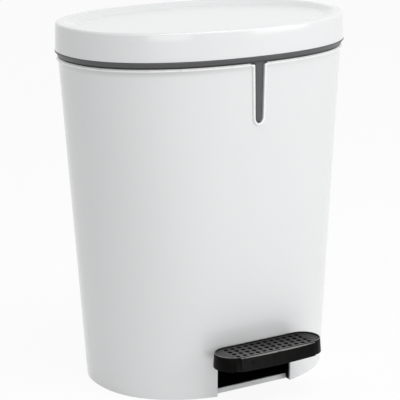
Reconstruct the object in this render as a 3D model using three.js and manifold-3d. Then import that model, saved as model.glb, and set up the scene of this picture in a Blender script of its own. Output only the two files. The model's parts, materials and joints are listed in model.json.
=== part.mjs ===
// Oval pedal bin of about 25 litres, in millimetres, +Z up, with its front facing -Y.
// Sizes are worked out round the middle of the oval plan; the whole bin is moved along Y at the end.
import * as THREE from "three";
import { mergeVertices } from "three/addons/utils/BufferGeometryUtils.js";
import Module from "manifold-3d";

const wasm = await Module();
wasm.setup();

// Clearances
const seatGap = 0.3; // between two pieces that rest on each other
const boreGap = 0.3; // round a shaft, pin or screw in its hole
const cutMargin = 5; // how far a cutting tool runs past what it cuts

// Fineness of the round stretches
const ovalSteps = 48;
const shaftSides = 20;
const smallSides = 12;

// Outer shell
const shellHeight = 402.4;
const shellTopHalfWidth = 181.7;
const shellTopHalfDepth = 125.4;
const shellSideTaper = 29.2; // how far each side leans in, from the top edge to the floor
const shellFrontTaper = 6.9; // how far the front and the back each lean in
const planPower = 2.24; // exponent of the superellipse: 2 is an ellipse, more is squarer
const shellWall = 2.5;
const beadHeight = 3;
const beadProud = 0.8;

// Cut-out in the shell's front for the pedal
const cutoutHalfWidth = 53.1;
const leverHeadroom = 3.5; // between the lever's flat front end and the cut-out's top

// Collar between shell and lid, and its tongue down the front
const collarHeight = 8.4;
const collarLip = 0.3; // how far the collar's top edge stands out past the lid
const collarLipHeight = 1.5;
const collarPlate = 2.5;
const collarSpigotDepth = 10.7;
const collarSpigotWall = 2;
const tongueTopWidth = 12;
const tongueTipWidth = 9.5;
const tongueLength = 70.1;
const tongueThickness = 2.8;
const tongueGap = 0.6;
const tongueRimWidth = 3;
const tongueRimProud = 0.8;

// Lid
const lidOverhang = 3.3; // how far the lid's foot stands out past the shell's top, all round
const lidHeight = 33.4;
const lidWall = 2.5;
const lidDraft = 0.9; // how far the skirt leans in over its height
const lidEdgeRadius = 3.4;
const lidRimWidth = 12;
const lidDishDepth = 5.5;
const lidDishSlope = 11; // plan width of the slope between rim and dish

// Lid hinge and the crank that the push rod works
const hingePinRadius = 2;
const hingeBarrelRadius = 5;
const hingeBackGap = 0.8; // between the lid's back and the barrels
const hingeDrop = 2.1; // axis below the collar's top
const lidKnuckleHalfLength = 28;
const collarKnuckleLength = 15;
const lidSwing = THREE.MathUtils.degToRad(75);
const crankReach = 24; // from the hinge axis forward to the push rod
const crankThickness = 4;
const crankSlotWall = 2.2;
const crankSlotPlay = 1.4; // the rod's pin wanders this far off the slot's middle line
const crankEndPlay = 0.8;
const crankFlange = 2.6;
const crankFlangeLength = 36;
const crankFlangeWidth = 32;
const crankScrewSpacing = 22;
const lidBossHeight = 5;

// Push rod, its foot and its guides
const rodRadius = 2;
const rodBend = 4;
const rodPinLength = 12;
const rodFootRadius = 5;
const rodFootHeight = 15;
const rodFootLift = 0.6; // between the foot and the lever at rest
const guideWidth = 14;
const guideHeight = 12;
const guideFront = 5;
const lowerGuideHeight = 110;
const upperGuideDrop = 72.7; // from the collar's foot down to the upper guide

// Base plate and pedal housing
const basePlateThickness = 2.5;
const baseRimHeight = 6;
const baseRimWall = 2.5;
const baseFrontInset = 14.5; // from the shell's foot back to the plate's front edge in the cut-out
const housingWall = 2.5;
const housingBack = 8;
const housingFlange = 10.5;
const housingFlangeStart = -62;
const housingScrewInset = 12;

// Screws
const screwRadius = 1.5;
const screwHeadRadius = 3;
const screwHeadHeight = 1.8;
const baseScrewLength = 16;
const pilotDepth = 0.4; // a screw hole runs this far past its screw
const baseBossRadius = 5.5;
const baseBossInset = 6.6;
const baseBossAngle = 0.62; // where the bosses stand round the oval, in radians

// Lever and axle
const axleBack = -30;
const axleHeight = 25;
const axleRadius = 3;
const axleEnd = 6; // past the housing's wall on each side
const clipRadius = 7;
const clipThickness = 1.5;
const hubRadius = 7.5;
const leverThickness = 4;
const leverHalfWidth = 20;
const leverRibThickness = 3;
const leverRibDepth = 9;
const leverRearDrop = 13; // rear end below the axle at rest
const leverRearOverrun = 3.5;

// Pedal
const pedalLength = 147;
const pedalDepth = 44.6; // of the oval tray, without its lip
const pedalBackGap = 0.7; // between the pedal and the shell's front
const pedalTop = 64.8;
const pedalHeight = 17.5;
const pedalLipHalfWidth = 53;
const pedalLipProud = 5.3; // in front of the tray, at the lip's middle
const pedalLipBow = 3.1; // from the lip's ends to its middle
const pedalLipDrop = 0.8; // below the tray's rim
const pedalWall = 2.5;
const pedalRimWall = 2.4;
const pedalWeb = 2.5;
const pedalRecess = 4.8;
const pedalNotchGap = 1;
const treadThickness = 2.9;
const treadColumnPitch = 9.26;
const treadRowPitch = 8.96;
const treadHoleRadius = 2.5;
const treadColumns = 12;
const treadRows = 4;
const pedalScrewSpacing = 22;
const pedalBossRadius = 4;
const pedalBossHeight = 2.5;

// Inner bucket and its bail
const bucketFloorGap = 5; // above the pedal housing
const bucketWall = 2;
const bucketRimWidth = 7;
const bucketRimThickness = 2;
const bucketFootInset = 14.5; // from the shell's foot to the bucket's, at the sides
const bucketTaper = 12; // how far front and back lean in over the bucket's height
const bucketSideGap = 10.5; // between the bucket's rim and the lid's skirt at the sides
const bucketFrontGap = 8.5; // the same at the front
const bucketBackGap = 1.5; // between the bucket's rim and the crank's sweep
const bucketOpeningGap = 1;
const bailRadius = 2;
const bailRise = 4.6; // bail axis above the bucket's rim
const bailInset = 7; // from the bucket's inner wall to the bail's middle line
const bailReach = 92;
const bailEarLength = 12;
const bailEarThickness = 7;
const bailPinOverrun = 2;
const gripRadius = 4.5;
const gripShare = 0.16; // of the half oval, to each side of its middle

// Finishes
const whiteGloss = { color: 0xf1f3f2, roughness: 0.18, metalness: 0 };
const greySatin = { color: 0x6c6e70, roughness: 0.42, metalness: 0 };
const blackSatin = { color: 0x121212, roughness: 0.4, metalness: 0 };
const darkRubber = { color: 0x333334, roughness: 0.7, metalness: 0 };
const greyPlastic = { color: 0xb9bcbd, roughness: 0.45, metalness: 0 };
const steel = { color: 0xb4b6b8, roughness: 0.3, metalness: 1 };

// Sizes and places that follow from the sizes above
const shellFootHalfWidth = shellTopHalfWidth - shellSideTaper;
const shellFootHalfDepth = shellTopHalfDepth - shellFrontTaper;
const lidHalfWidth = shellTopHalfWidth + lidOverhang;
const lidHalfDepth = shellTopHalfDepth + lidOverhang;
const webTop = pedalTop - pedalRecess;
const webFoot = webTop - pedalWeb;
const leverPadTop = webFoot - pedalBossHeight;
const leverPadHeight = leverPadTop - leverThickness / 2;
const cutoutHeight = leverPadTop + leverHeadroom;
const bucketFloorHeight = cutoutHeight + housingWall + bucketFloorGap;
const bucketTopHalfWidth = lidHalfWidth - lidWall - bucketSideGap - bucketRimWidth;
const bucketFootHalfWidth = shellFootHalfWidth - bucketFootInset;
const baseFrontSetback = shellFootHalfDepth - baseFrontInset;
const collarFoot = shellHeight + seatGap;
const collarTop = collarFoot + collarHeight;
const lidFoot = collarTop + seatGap;
const lidTop = lidFoot + lidHeight;
const lidCeiling = lidTop - lidDishDepth - lidWall;
const hingeBack = lidHalfDepth + hingeBackGap + hingeBarrelRadius;
const hingeHeight = collarTop - hingeDrop;
const rodBack = hingeBack - crankReach;
const rodTop = hingeHeight - crankReach * Math.tan(lidSwing / 2);
const crankSlotRadius = rodRadius + crankSlotPlay;
const crankArmRadius = crankSlotRadius + crankSlotWall;
const crankSlotNear = crankReach - crankEndPlay;
const crankSlotFar = crankReach / Math.cos(lidSwing / 2) + crankEndPlay;
const crankSweep = crankSlotFar + crankArmRadius;
const crankLeft = rodBend + seatGap + 1;
const bucketRim = collarTop + seatGap;
const bucketRimBack = hingeBack - crankSweep - bucketBackGap;
const bucketRimFront = -(lidHalfDepth - lidWall - bucketFrontGap);
const bucketBack = (bucketRimBack + bucketRimFront) / 2;
const bucketTopHalfDepth = (bucketRimBack - bucketRimFront) / 2 - bucketRimWidth;
const wallDraft = Math.atan(shellFrontTaper / shellHeight);
const axleHalfLength = cutoutHalfWidth + housingWall + axleEnd;
const baseHeadSeat = screwHeadHeight + 2 * seatGap;
const baseScrewSeat = baseHeadSeat - seatGap;
const upperGuideHeight = collarFoot - upperGuideDrop;
const pedalCentre = -(shellPlan(pedalTop)[1] + pedalBackGap + pedalDepth / 2);
const CENTRE = -Infinity; // a profile point on the oval's own axis

// ---------------------------------------------------------------- geometry helpers

// A manifold-3d solid of a closed three.js geometry, turned right side out if need be.
function solid(geometry) {
  const bare = geometry.clone();
  bare.deleteAttribute("normal");
  bare.deleteAttribute("uv");
  const merged = mergeVertices(bare, 1e-3);
  const corners = merged.index.array;
  const kept = [];
  for (let i = 0; i < corners.length; i += 3) {
    const [a, b, c] = corners.slice(i, i + 3);
    if (a !== b && b !== c && c !== a) kept.push(a, b, c);
  }
  const made = manifoldOf(merged, kept);
  return made.volume() < 0 ? manifoldOf(merged, kept.reverse()) : made;
}

function manifoldOf(geometry, triangles) {
  const vertProperties = geometry.getAttribute("position").array;
  const triVerts = new Uint32Array(triangles);
  return new wasm.Manifold(new wasm.Mesh({ numProp: 3, vertProperties, triVerts }));
}

function geometryOf(made) {
  const mesh = made.getMesh();
  const geometry = new THREE.BufferGeometry();
  geometry.setAttribute("position", new THREE.BufferAttribute(mesh.vertProperties, 3));
  geometry.setIndex(new THREE.BufferAttribute(mesh.triVerts, 1));
  geometry.computeVertexNormals();
  return geometry;
}

function joined(solids) {
  return solids.reduce((whole, part) => whole.add(part));
}

function cut(whole, tools) {
  return tools.reduce((left, tool) => left.subtract(tool), whole);
}

// Two values as a span, the smaller one first.
function inOrder(a, b) {
  return [Math.min(a, b), Math.max(a, b)];
}

// A block between two values on each axis.
function block([x0, x1], [y0, y1], [z0, z1]) {
  const geometry = new THREE.BoxGeometry(x1 - x0, y1 - y0, z1 - z0);
  return solid(geometry.translate((x0 + x1) / 2, (y0 + y1) / 2, (z0 + z1) / 2));
}

// A bar along X between two values, at a place in the YZ plane.
function barAcross(radius, [x0, x1], y, z, sides = shaftSides) {
  const geometry = new THREE.CylinderGeometry(radius, radius, x1 - x0, sides);
  return solid(geometry.rotateZ(Math.PI / 2).translate((x0 + x1) / 2, y, z));
}

// An upright bar between two heights, at a place in plan.
function barUp(radius, x, y, [z0, z1], sides = shaftSides) {
  const geometry = new THREE.CylinderGeometry(radius, radius, z1 - z0, sides);
  return solid(geometry.rotateX(Math.PI / 2).translate(x, y, (z0 + z1) / 2));
}

// A plan outline raised between two heights.
function raised(shape, [z0, z1], curveSegments = 12) {
  const geometry = new THREE.ExtrudeGeometry(shape, { depth: z1 - z0, bevelEnabled: false, curveSegments });
  return solid(geometry.translate(0, 0, z0));
}

// A side outline, drawn with Y across and Z up, carried along X between two values.
function carriedAcross(shape, [x0, x1], curveSegments = 8) {
  const geometry = new THREE.ExtrudeGeometry(shape, { depth: x1 - x0, bevelEnabled: false, curveSegments });
  const turn = new THREE.Matrix4().makeBasis(
    new THREE.Vector3(0, 1, 0),
    new THREE.Vector3(0, 0, 1),
    new THREE.Vector3(1, 0, 0),
  );
  return solid(geometry.applyMatrix4(turn).translate(x0, 0, 0));
}

// A front outline, drawn with X across and Z up from the shell's top edge, carried along Y between two
// values and leaning with the shell's front wall.
function onFrontWall(shape, [y0, y1]) {
  const depth = y1 - y0;
  const geometry = new THREE.ExtrudeGeometry(shape, { depth, bevelEnabled: false, curveSegments: 6 });
  geometry.rotateX(Math.PI / 2).translate(0, y1, 0).rotateX(wallDraft);
  return solid(geometry.translate(0, -shellTopHalfDepth, shellHeight));
}

// A plan outline with straight sides and round ends, lying along X.
function pill(length, width, x = 0, y = 0) {
  const straight = (length - width) / 2;
  const shape = new THREE.Shape();
  shape.absarc(x + straight, y, width / 2, -Math.PI / 2, Math.PI / 2);
  shape.absarc(x - straight, y, width / 2, Math.PI / 2, (3 * Math.PI) / 2);
  return shape;
}

function polygon(points) {
  return new THREE.Shape(points.map(([x, y]) => new THREE.Vector2(x, y)));
}

function mix(a, b, share) {
  return a + (b - a) * share;
}

// ---------------------------------------------------------------- oval plans

function ovalPoint(angle, halfWidth, halfDepth) {
  const c = Math.cos(angle);
  const s = Math.sin(angle);
  const x = halfWidth * Math.sign(c) * Math.abs(c) ** (2 / planPower);
  const y = halfDepth * Math.sign(s) * Math.abs(s) ** (2 / planPower);
  return new THREE.Vector2(x, y);
}

function shellPlan(z) {
  const share = z / shellHeight;
  return [
    mix(shellFootHalfWidth, shellTopHalfWidth, share),
    mix(shellFootHalfDepth, shellTopHalfDepth, share),
  ];
}

function lidPlan() {
  return [lidHalfWidth, lidHalfDepth];
}

function bucketPlan(z) {
  const share = (z - bucketFloorHeight) / (bucketRim - bucketFloorHeight);
  return [
    mix(bucketFootHalfWidth, bucketTopHalfWidth, share),
    mix(bucketTopHalfDepth - bucketTaper, bucketTopHalfDepth, share),
  ];
}

// A lathe turning drawn out to an oval: each profile point is how far it lies outside the plan, and its
// height. The plan gives the oval's half width and half depth at a height.
function ovalTurning(profile, plan, middleY = 0) {
  const outline = profile.map(([outset, z]) => plan(z).map((half) => Math.max(half + outset, 0)).concat(z));
  const points = outline.map(([halfWidth, , z]) => new THREE.Vector2(halfWidth, z));
  const geometry = new THREE.LatheGeometry(points, ovalSteps);
  const position = geometry.getAttribute("position");
  for (let i = 0; i < position.count; i++) {
    const step = Math.floor(i / outline.length) % ovalSteps;
    const [halfWidth, halfDepth, z] = outline[i % outline.length];
    const place = ovalPoint((step / ovalSteps) * 2 * Math.PI, halfWidth, halfDepth);
    position.setXYZ(i, place.x, place.y + middleY, z);
  }
  return solid(geometry);
}

// The space inside the shell's wall, less a gap, between two heights.
function insideShell(gap, [z0, z1]) {
  const inset = -(shellWall + gap);
  const profile = [
    [CENTRE, z0],
    [inset, z0],
    [inset, z1],
    [CENTRE, z1],
  ];
  return ovalTurning(profile, shellPlan);
}

// ---------------------------------------------------------------- scene graph

const bin = new THREE.Group();
const fixed = new THREE.Group();
const lid = new THREE.Group();
const rod = new THREE.Group();
const pedal = new THREE.Group();
const bucket = new THREE.Group();
bin.add(fixed, lid, rod, pedal, bucket);

function addPiece(group, name, made, finish) {
  const mesh = new THREE.Mesh(geometryOf(made), new THREE.MeshStandardMaterial(finish));
  mesh.name = name;
  group.add(mesh);
  return mesh;
}

// ---------------------------------------------------------------- outer shell

function tongueOutline(spare) {
  const top = tongueTopWidth / 2 + spare;
  const tip = tongueTipWidth / 2 + spare;
  const tipCentre = -(tongueLength - tongueTipWidth / 2);
  const rise = collarFoot - shellHeight + cutMargin;
  const shape = new THREE.Shape();
  shape.moveTo(-top, rise);
  shape.lineTo(-tip, tipCentre);
  shape.absarc(0, tipCentre, tip, Math.PI, 2 * Math.PI);
  shape.lineTo(top, rise);
  return shape;
}

// Where the base screws stand, one to each quarter of the oval.
function baseScrewPlaces() {
  const [halfWidth, halfDepth] = shellPlan(0);
  const { x, y } = ovalPoint(baseBossAngle, halfWidth - baseBossInset, halfDepth - baseBossInset);
  return [
    [x, y],
    [-x, y],
    [-x, -y],
    [x, -y],
  ];
}

function makeShell() {
  const bulge = beadProud / 2;
  const wall = ovalTurning(
    [
      [0, 0],
      [0, shellHeight - beadHeight - beadProud],
      [beadProud, shellHeight - beadHeight],
      [beadProud, shellHeight - bulge],
      [bulge, shellHeight],
      [-shellWall, shellHeight],
      [-shellWall, 0],
      [0, 0],
    ],
    shellPlan,
  );
  const rimStart = -tongueRimProud;
  const tongueRim = onFrontWall(tongueOutline(tongueGap + tongueRimWidth), [rimStart, shellWall / 2]);
  const topTrim = block(
    [-shellTopHalfWidth, shellTopHalfWidth],
    [-lidHalfDepth - cutMargin, -shellTopHalfDepth + cutMargin],
    [shellHeight, lidTop],
  );
  const notch = onFrontWall(tongueOutline(tongueGap), [-cutMargin, shellWall + cutMargin]);
  const bossStart = baseRimHeight + seatGap;
  const pilotEnd = baseScrewSeat + baseScrewLength + pilotDepth;
  const bosses = baseScrewPlaces().map(([x, y]) =>
    barUp(baseBossRadius, x, y, [bossStart, pilotEnd + shellWall], smallSides),
  );
  const pilots = baseScrewPlaces().map(([x, y]) =>
    barUp(screwRadius + boreGap, x, y, [bossStart - cutMargin, pilotEnd], smallSides),
  );
  const doorway = block(
    [-cutoutHalfWidth, cutoutHalfWidth],
    [-shellTopHalfDepth - cutMargin, 0],
    [-cutMargin, cutoutHeight],
  );
  return cut(joined([wall, tongueRim.subtract(topTrim), ...bosses]), [notch, doorway, ...pilots]);
}

addPiece(fixed, "outer_shell", makeShell(), whiteGloss);

// ---------------------------------------------------------------- rim collar with its tongue

// The slot that the crank swings through, from the push rod's far side to past the crank.
function crankSlotSpan() {
  return [-rodRadius - crankSlotPlay, rodPinLength + crankSlotPlay];
}

function makeCollar() {
  const shellInset = -lidOverhang; // the shell's surface, from the lid's plan
  const spigotFoot = collarFoot - collarSpigotDepth;
  const spigotLean = (shellSideTaper * collarSpigotDepth) / shellHeight;
  const spigotOut = shellInset - shellWall - seatGap;
  const lipFoot = collarTop - collarLipHeight;
  const ring = ovalTurning(
    [
      [CENTRE, collarTop],
      [collarLip - 0.2, collarTop],
      [collarLip, collarTop - 0.2],
      [collarLip, lipFoot],
      [-1, lipFoot - 0.6],
      [shellInset + 0.6, collarFoot + 1.4],
      [shellInset - 0.3, collarFoot],
      [spigotOut, collarFoot],
      [spigotOut - spigotLean, spigotFoot],
      [spigotOut - spigotLean - collarSpigotWall, spigotFoot],
      [spigotOut - collarSpigotWall, collarTop - collarPlate],
      [CENTRE, collarTop - collarPlate],
    ],
    lidPlan,
  );
  const tongue = onFrontWall(tongueOutline(0), [0, tongueThickness]);
  const tongueTrim = block(
    [-tongueTopWidth, tongueTopWidth],
    [-lidHalfDepth - cutMargin, 0],
    [collarFoot + collarHeight / 2, lidTop],
  );
  const [topHalfWidth, topHalfDepth] = bucketPlan(bucketRim);
  const mouth = ovalTurning(
    [
      [CENTRE, collarFoot - cutMargin],
      [bucketOpeningGap, collarFoot - cutMargin],
      [bucketOpeningGap, collarTop + cutMargin],
      [CENTRE, collarTop + cutMargin],
    ],
    () => [topHalfWidth, topHalfDepth],
    bucketBack,
  );
  const slotBack = shellTopHalfDepth - shellWall - seatGap;
  const slot = block(
    crankSlotSpan(),
    [hingeBack - crankSweep - bucketBackGap / 2, slotBack],
    [spigotFoot - cutMargin, collarTop + cutMargin],
  );
  const knuckleStart = lidKnuckleHalfLength + seatGap;
  const knuckleEnd = knuckleStart + collarKnuckleLength;
  const webFront = shellTopHalfDepth - shellWall;
  const knuckles = [
    [-knuckleEnd, -knuckleStart],
    [knuckleStart, knuckleEnd],
  ].flatMap((span) => [
    barAcross(hingeBarrelRadius, span, hingeBack, hingeHeight),
    block(span, [webFront, hingeBack], [hingeHeight - hingeBarrelRadius, hingeHeight]),
  ]);
  const bore = barAcross(
    hingePinRadius + boreGap,
    [-knuckleEnd - cutMargin, knuckleEnd + cutMargin],
    hingeBack,
    hingeHeight,
  );
  return cut(joined([ring, tongue.subtract(tongueTrim), ...knuckles]), [mouth, slot, bore]);
}

addPiece(fixed, "rim_collar", makeCollar(), greySatin);

function makeHingePin() {
  const end = lidKnuckleHalfLength + seatGap + collarKnuckleLength + seatGap;
  const head = [-end - screwHeadHeight, -end];
  return joined([
    barAcross(hingePinRadius, [-end - screwHeadHeight, end + seatGap], hingeBack, hingeHeight),
    barAcross(hingePinRadius * 1.8, head, hingeBack, hingeHeight),
  ]);
}

addPiece(fixed, "lid_hinge_pin", makeHingePin(), steel);

// ---------------------------------------------------------------- lid

// Where the two screws of the crank stand, either side of its arm.
const crankScrewRow = rodBack - crankFlangeLength / 2 - screwHeadRadius;
const crankMiddle = crankLeft + crankThickness / 2;
const crankScrewPlaces = [-1, 1].map((side) => {
  return [crankMiddle + (side * crankScrewSpacing) / 2, crankScrewRow];
});

function makeLid() {
  const edge = lidEdgeRadius;
  const skirtTop = -lidDraft;
  const slopeFoot = -lidRimWidth - lidDishSlope;
  const dish = lidTop - lidDishDepth;
  const cap = ovalTurning(
    [
      [CENTRE, dish],
      [slopeFoot, dish],
      [slopeFoot + lidDishSlope * 0.3, dish + lidDishDepth * 0.2],
      [slopeFoot + lidDishSlope * 0.7, lidTop - lidDishDepth * 0.2],
      [-lidRimWidth, lidTop],
      [skirtTop - edge, lidTop],
      [skirtTop - edge * 0.5, lidTop - edge * 0.13],
      [skirtTop - edge * 0.13, lidTop - edge * 0.5],
      [skirtTop, lidTop - edge],
      [0, lidFoot],
      [-lidWall, lidFoot],
      [skirtTop - lidWall, lidTop - edge],
      [skirtTop - edge, lidTop - lidWall],
      [-lidRimWidth, lidTop - lidWall],
      [slopeFoot, lidCeiling],
      [CENTRE, lidCeiling],
    ],
    lidPlan,
  );
  const knuckle = barAcross(
    hingeBarrelRadius,
    [-lidKnuckleHalfLength, lidKnuckleHalfLength],
    hingeBack,
    hingeHeight,
  );
  const web = block(
    [-lidKnuckleHalfLength, lidKnuckleHalfLength],
    [lidHalfDepth - lidWall, hingeBack],
    [lidFoot, lidFoot + hingeBarrelRadius],
  );
  const bossFoot = lidCeiling - lidBossHeight;
  const bosses = crankScrewPlaces.map(([x, y]) =>
    barUp(pedalBossRadius, x, y, [bossFoot, lidCeiling + lidWall / 2], smallSides),
  );
  const pilots = crankScrewPlaces.map(([x, y]) =>
    barUp(screwRadius + boreGap, x, y, [bossFoot - cutMargin, lidCeiling], smallSides),
  );
  const bore = barAcross(
    hingePinRadius + boreGap,
    [-lidKnuckleHalfLength - cutMargin, lidKnuckleHalfLength + cutMargin],
    hingeBack,
    hingeHeight,
  );
  return cut(joined([cap, knuckle, web, ...bosses]), [bore, ...pilots]);
}

addPiece(lid, "lid_shell", makeLid(), whiteGloss);

// A point on the crank's slot, from its distance to the hinge axis.
function crankPoint(distance) {
  const angle = lidSwing / 2;
  return [hingeBack - distance * Math.cos(angle), hingeHeight - distance * Math.sin(angle)];
}

// A stadium along the crank's slot, of a given radius.
function slotOutline(radius) {
  const lean = lidSwing / 2;
  const [nearY, nearZ] = crankPoint(crankSlotNear);
  const [farY, farZ] = crankPoint(crankSlotFar);
  const shape = new THREE.Shape();
  shape.absarc(nearY, nearZ, radius, lean - Math.PI / 2, lean + Math.PI / 2);
  shape.absarc(farY, farZ, radius, lean + Math.PI / 2, lean + (3 * Math.PI) / 2);
  return shape;
}

const crankFlangeTop = lidCeiling - lidBossHeight - seatGap;
const crankFlangeFoot = crankFlangeTop - crankFlange;

function makeCrank() {
  const span = [crankLeft, crankLeft + crankThickness];
  const [nearY, nearZ] = crankPoint(crankSlotNear);
  const [farY, farZ] = crankPoint(crankSlotFar);
  const arm = polygon([
    [farY - crankArmRadius, farZ],
    [nearY, nearZ - crankArmRadius / 2],
    [nearY + crankArmRadius * 0.6, nearZ + crankArmRadius * 0.7],
    [nearY + crankArmRadius * 0.3, crankFlangeTop],
    [farY - crankArmRadius * 1.6, crankFlangeTop],
  ]);
  const flange = block(
    [crankMiddle - crankFlangeWidth / 2, crankMiddle + crankFlangeWidth / 2],
    [nearY - crankFlangeLength, nearY],
    [crankFlangeFoot, crankFlangeTop],
  );
  const plate = joined([carriedAcross(arm, span), carriedAcross(slotOutline(crankArmRadius), span)]);
  const slot = carriedAcross(slotOutline(crankSlotRadius), [span[0] - cutMargin, span[1] + cutMargin]);
  const holeSpan = [crankFlangeFoot - cutMargin, crankFlangeTop + cutMargin];
  const holes = crankScrewPlaces.map(([x, y]) => {
    return barUp(screwRadius + boreGap, x, y, holeSpan, smallSides);
  });
  return cut(joined([plate.subtract(slot), flange]), holes);
}

addPiece(lid, "lid_crank", makeCrank(), blackSatin);

// ---------------------------------------------------------------- screws

// A screw whose head's underside is at its own origin and whose shank runs up.
function makeScrew(length) {
  const shank = barUp(screwRadius, 0, 0, [-screwHeadHeight / 2, length], smallSides);
  const head = barUp(screwHeadRadius, 0, 0, [-screwHeadHeight, 0], smallSides);
  return joined([shank, head]);
}

function addScrews(group, name, places, height, length, pointsDown = false) {
  places.forEach(([x, y], index) => {
    const screw = addPiece(group, `${name}_${index + 1}`, makeScrew(length), steel);
    screw.position.set(x, y, height);
    screw.rotation.x = pointsDown ? Math.PI : 0;
  });
}

const crankScrewLength = crankFlange + lidBossHeight - seatGap;
addScrews(lid, "crank_screw", crankScrewPlaces, crankFlangeFoot - seatGap, crankScrewLength);

// ---------------------------------------------------------------- base plate

const housingSide = cutoutHalfWidth + housingWall;
const housingScrewPlaces = [-1, 1].flatMap((side) =>
  [housingFlangeStart + housingScrewInset, -housingScrewInset].map((y) => [
    side * (housingSide + housingFlange / 2),
    y,
  ]),
);

function makeBasePlate() {
  const plan = insideShell(seatGap, [0, baseRimHeight]);
  const hollow = insideShell(seatGap + baseRimWall, [basePlateThickness, baseRimHeight + cutMargin]);
  const pads = baseScrewPlaces().map(([x, y]) =>
    barUp(screwHeadRadius + baseRimWall, x, y, [0, baseRimHeight], smallSides),
  );
  const doorway = block(
    [-housingSide - seatGap, housingSide + seatGap],
    [-shellTopHalfDepth, -baseFrontSetback],
    [-cutMargin, baseRimHeight + cutMargin],
  );
  const frontRim = block(
    [-cutoutHalfWidth + seatGap, cutoutHalfWidth - seatGap],
    [-baseFrontSetback, -baseFrontSetback + baseRimWall],
    [0, baseRimHeight],
  );
  const tray = cut(plan, [hollow]).add(joined(pads).intersect(plan)).subtract(doorway);
  const heads = baseScrewPlaces().map(([x, y]) =>
    barUp(screwHeadRadius + boreGap, x, y, [-cutMargin, baseHeadSeat], smallSides),
  );
  const holes = [...baseScrewPlaces(), ...housingScrewPlaces].map(([x, y]) =>
    barUp(screwRadius + boreGap, x, y, [-cutMargin, baseRimHeight + cutMargin], smallSides),
  );
  return cut(tray.add(frontRim), [...heads, ...holes]);
}

addPiece(fixed, "base_plate", makeBasePlate(), whiteGloss);
addScrews(fixed, "base_screw", baseScrewPlaces(), baseScrewSeat, baseScrewLength);

// ---------------------------------------------------------------- pedal housing and axle

const flangeFoot = basePlateThickness + seatGap;
const flangeTop = flangeFoot + housingWall;

function makeHousing() {
  const front = -shellTopHalfDepth;
  const roofTop = cutoutHeight + housingWall;
  const tunnel = block([-housingSide, housingSide], [front, housingBack], [seatGap, roofTop]);
  const passage = block(
    [-cutoutHalfWidth, cutoutHalfWidth],
    [front - cutMargin, housingBack + cutMargin],
    [-cutMargin, cutoutHeight],
  );
  const footCut = block(
    [-housingSide - cutMargin, housingSide + cutMargin],
    [-baseFrontSetback - seatGap, housingBack + cutMargin],
    [-cutMargin, flangeFoot],
  );
  const flanges = [-1, 1].map((side) => {
    const inner = side * (housingSide - housingWall / 2);
    const outer = side * (housingSide + housingFlange);
    return block(inOrder(inner, outer), [housingFlangeStart, 0], [flangeFoot, flangeTop]);
  });
  const axleHole = barAcross(
    axleRadius + boreGap,
    [-housingSide - cutMargin, housingSide + cutMargin],
    axleBack,
    axleHeight,
  );
  const holes = housingScrewPlaces.map(([x, y]) =>
    barUp(screwRadius + boreGap, x, y, [0, flangeTop + cutMargin], smallSides),
  );
  const shell = cut(tunnel, [passage, footCut]).add(joined(flanges));
  return cut(shell.intersect(insideShell(seatGap, [0, roofTop + cutMargin])), [axleHole, ...holes]);
}

addPiece(fixed, "pedal_housing", makeHousing(), blackSatin);
const housingScrewLength = flangeTop + seatGap - seatGap * 2;
addScrews(fixed, "housing_screw", housingScrewPlaces, flangeTop + seatGap, housingScrewLength, true);

const axle = barAcross(axleRadius, [-axleHalfLength, axleHalfLength], axleBack, axleHeight);
addPiece(fixed, "pedal_axle", axle, steel);

function makeAxleClip(side) {
  const inner = side * (housingSide + seatGap);
  const outer = side * (housingSide + seatGap + clipThickness);
  const span = inOrder(inner, outer);
  const hole = barAcross(axleRadius + boreGap, [span[0] - 1, span[1] + 1], axleBack, axleHeight);
  return barAcross(clipRadius, span, axleBack, axleHeight).subtract(hole);
}

addPiece(fixed, "axle_clip_left", makeAxleClip(-1), steel);
addPiece(fixed, "axle_clip_right", makeAxleClip(1), steel);

// ---------------------------------------------------------------- pedal lever

// The lever's top line from the pedal back to the push rod, moved down by a depth.
function leverLine(depth) {
  const half = leverThickness / 2;
  const rearSlope = leverRearDrop / (rodBack - axleBack);
  const rearEnd = rodBack + leverRearOverrun;
  const front = pedalCentre - pedalDepth / 2 + pedalWall + leverRearOverrun;
  return [
    [front, leverPadHeight + half - depth],
    [pedalCentre + pedalDepth / 2 + leverThickness, leverPadHeight + half - depth],
    [axleBack - 2 * hubRadius, axleHeight + hubRadius + half - depth],
    [axleBack, axleHeight + half - depth],
    [rearEnd, axleHeight + half - depth - rearSlope * (rearEnd - axleBack)],
  ];
}

const pedalScrewPlaces = [-1, 1].map((side) => [(side * pedalScrewSpacing) / 2, pedalCentre]);

function makeLever() {
  const plate = polygon([...leverLine(0), ...leverLine(leverThickness).reverse()]);
  const ribTop = leverLine(0).slice(1, 4);
  const ribFoot = leverLine(leverRibDepth).slice(1, 4).reverse();
  const rib = polygon([...ribTop, ...ribFoot]);
  const ribs = [-1, 1].map((side) => {
    const outer = side * leverHalfWidth;
    const inner = side * (leverHalfWidth - leverRibThickness);
    return carriedAcross(rib, inOrder(inner, outer));
  });
  const hubEnd = cutoutHalfWidth - seatGap;
  const hub = barAcross(hubRadius, [-hubEnd, hubEnd], axleBack, axleHeight);
  const bore = barAcross(
    axleRadius + boreGap,
    [-hubEnd - cutMargin, hubEnd + cutMargin],
    axleBack,
    axleHeight,
  );
  const holeSpan = [leverPadHeight - cutMargin, leverPadHeight + cutMargin];
  const holes = pedalScrewPlaces.map(([x, y]) => {
    return barUp(screwRadius + boreGap, x, y, holeSpan, smallSides);
  });
  const body = joined([carriedAcross(plate, [-leverHalfWidth, leverHalfWidth]), ...ribs, hub]);
  return cut(body, [bore, ...holes]);
}

addPiece(pedal, "pedal_lever", makeLever(), blackSatin);

// ---------------------------------------------------------------- pedal and tread

const pedalFoot = pedalTop - pedalHeight;
const lipSteps = 16;

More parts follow.
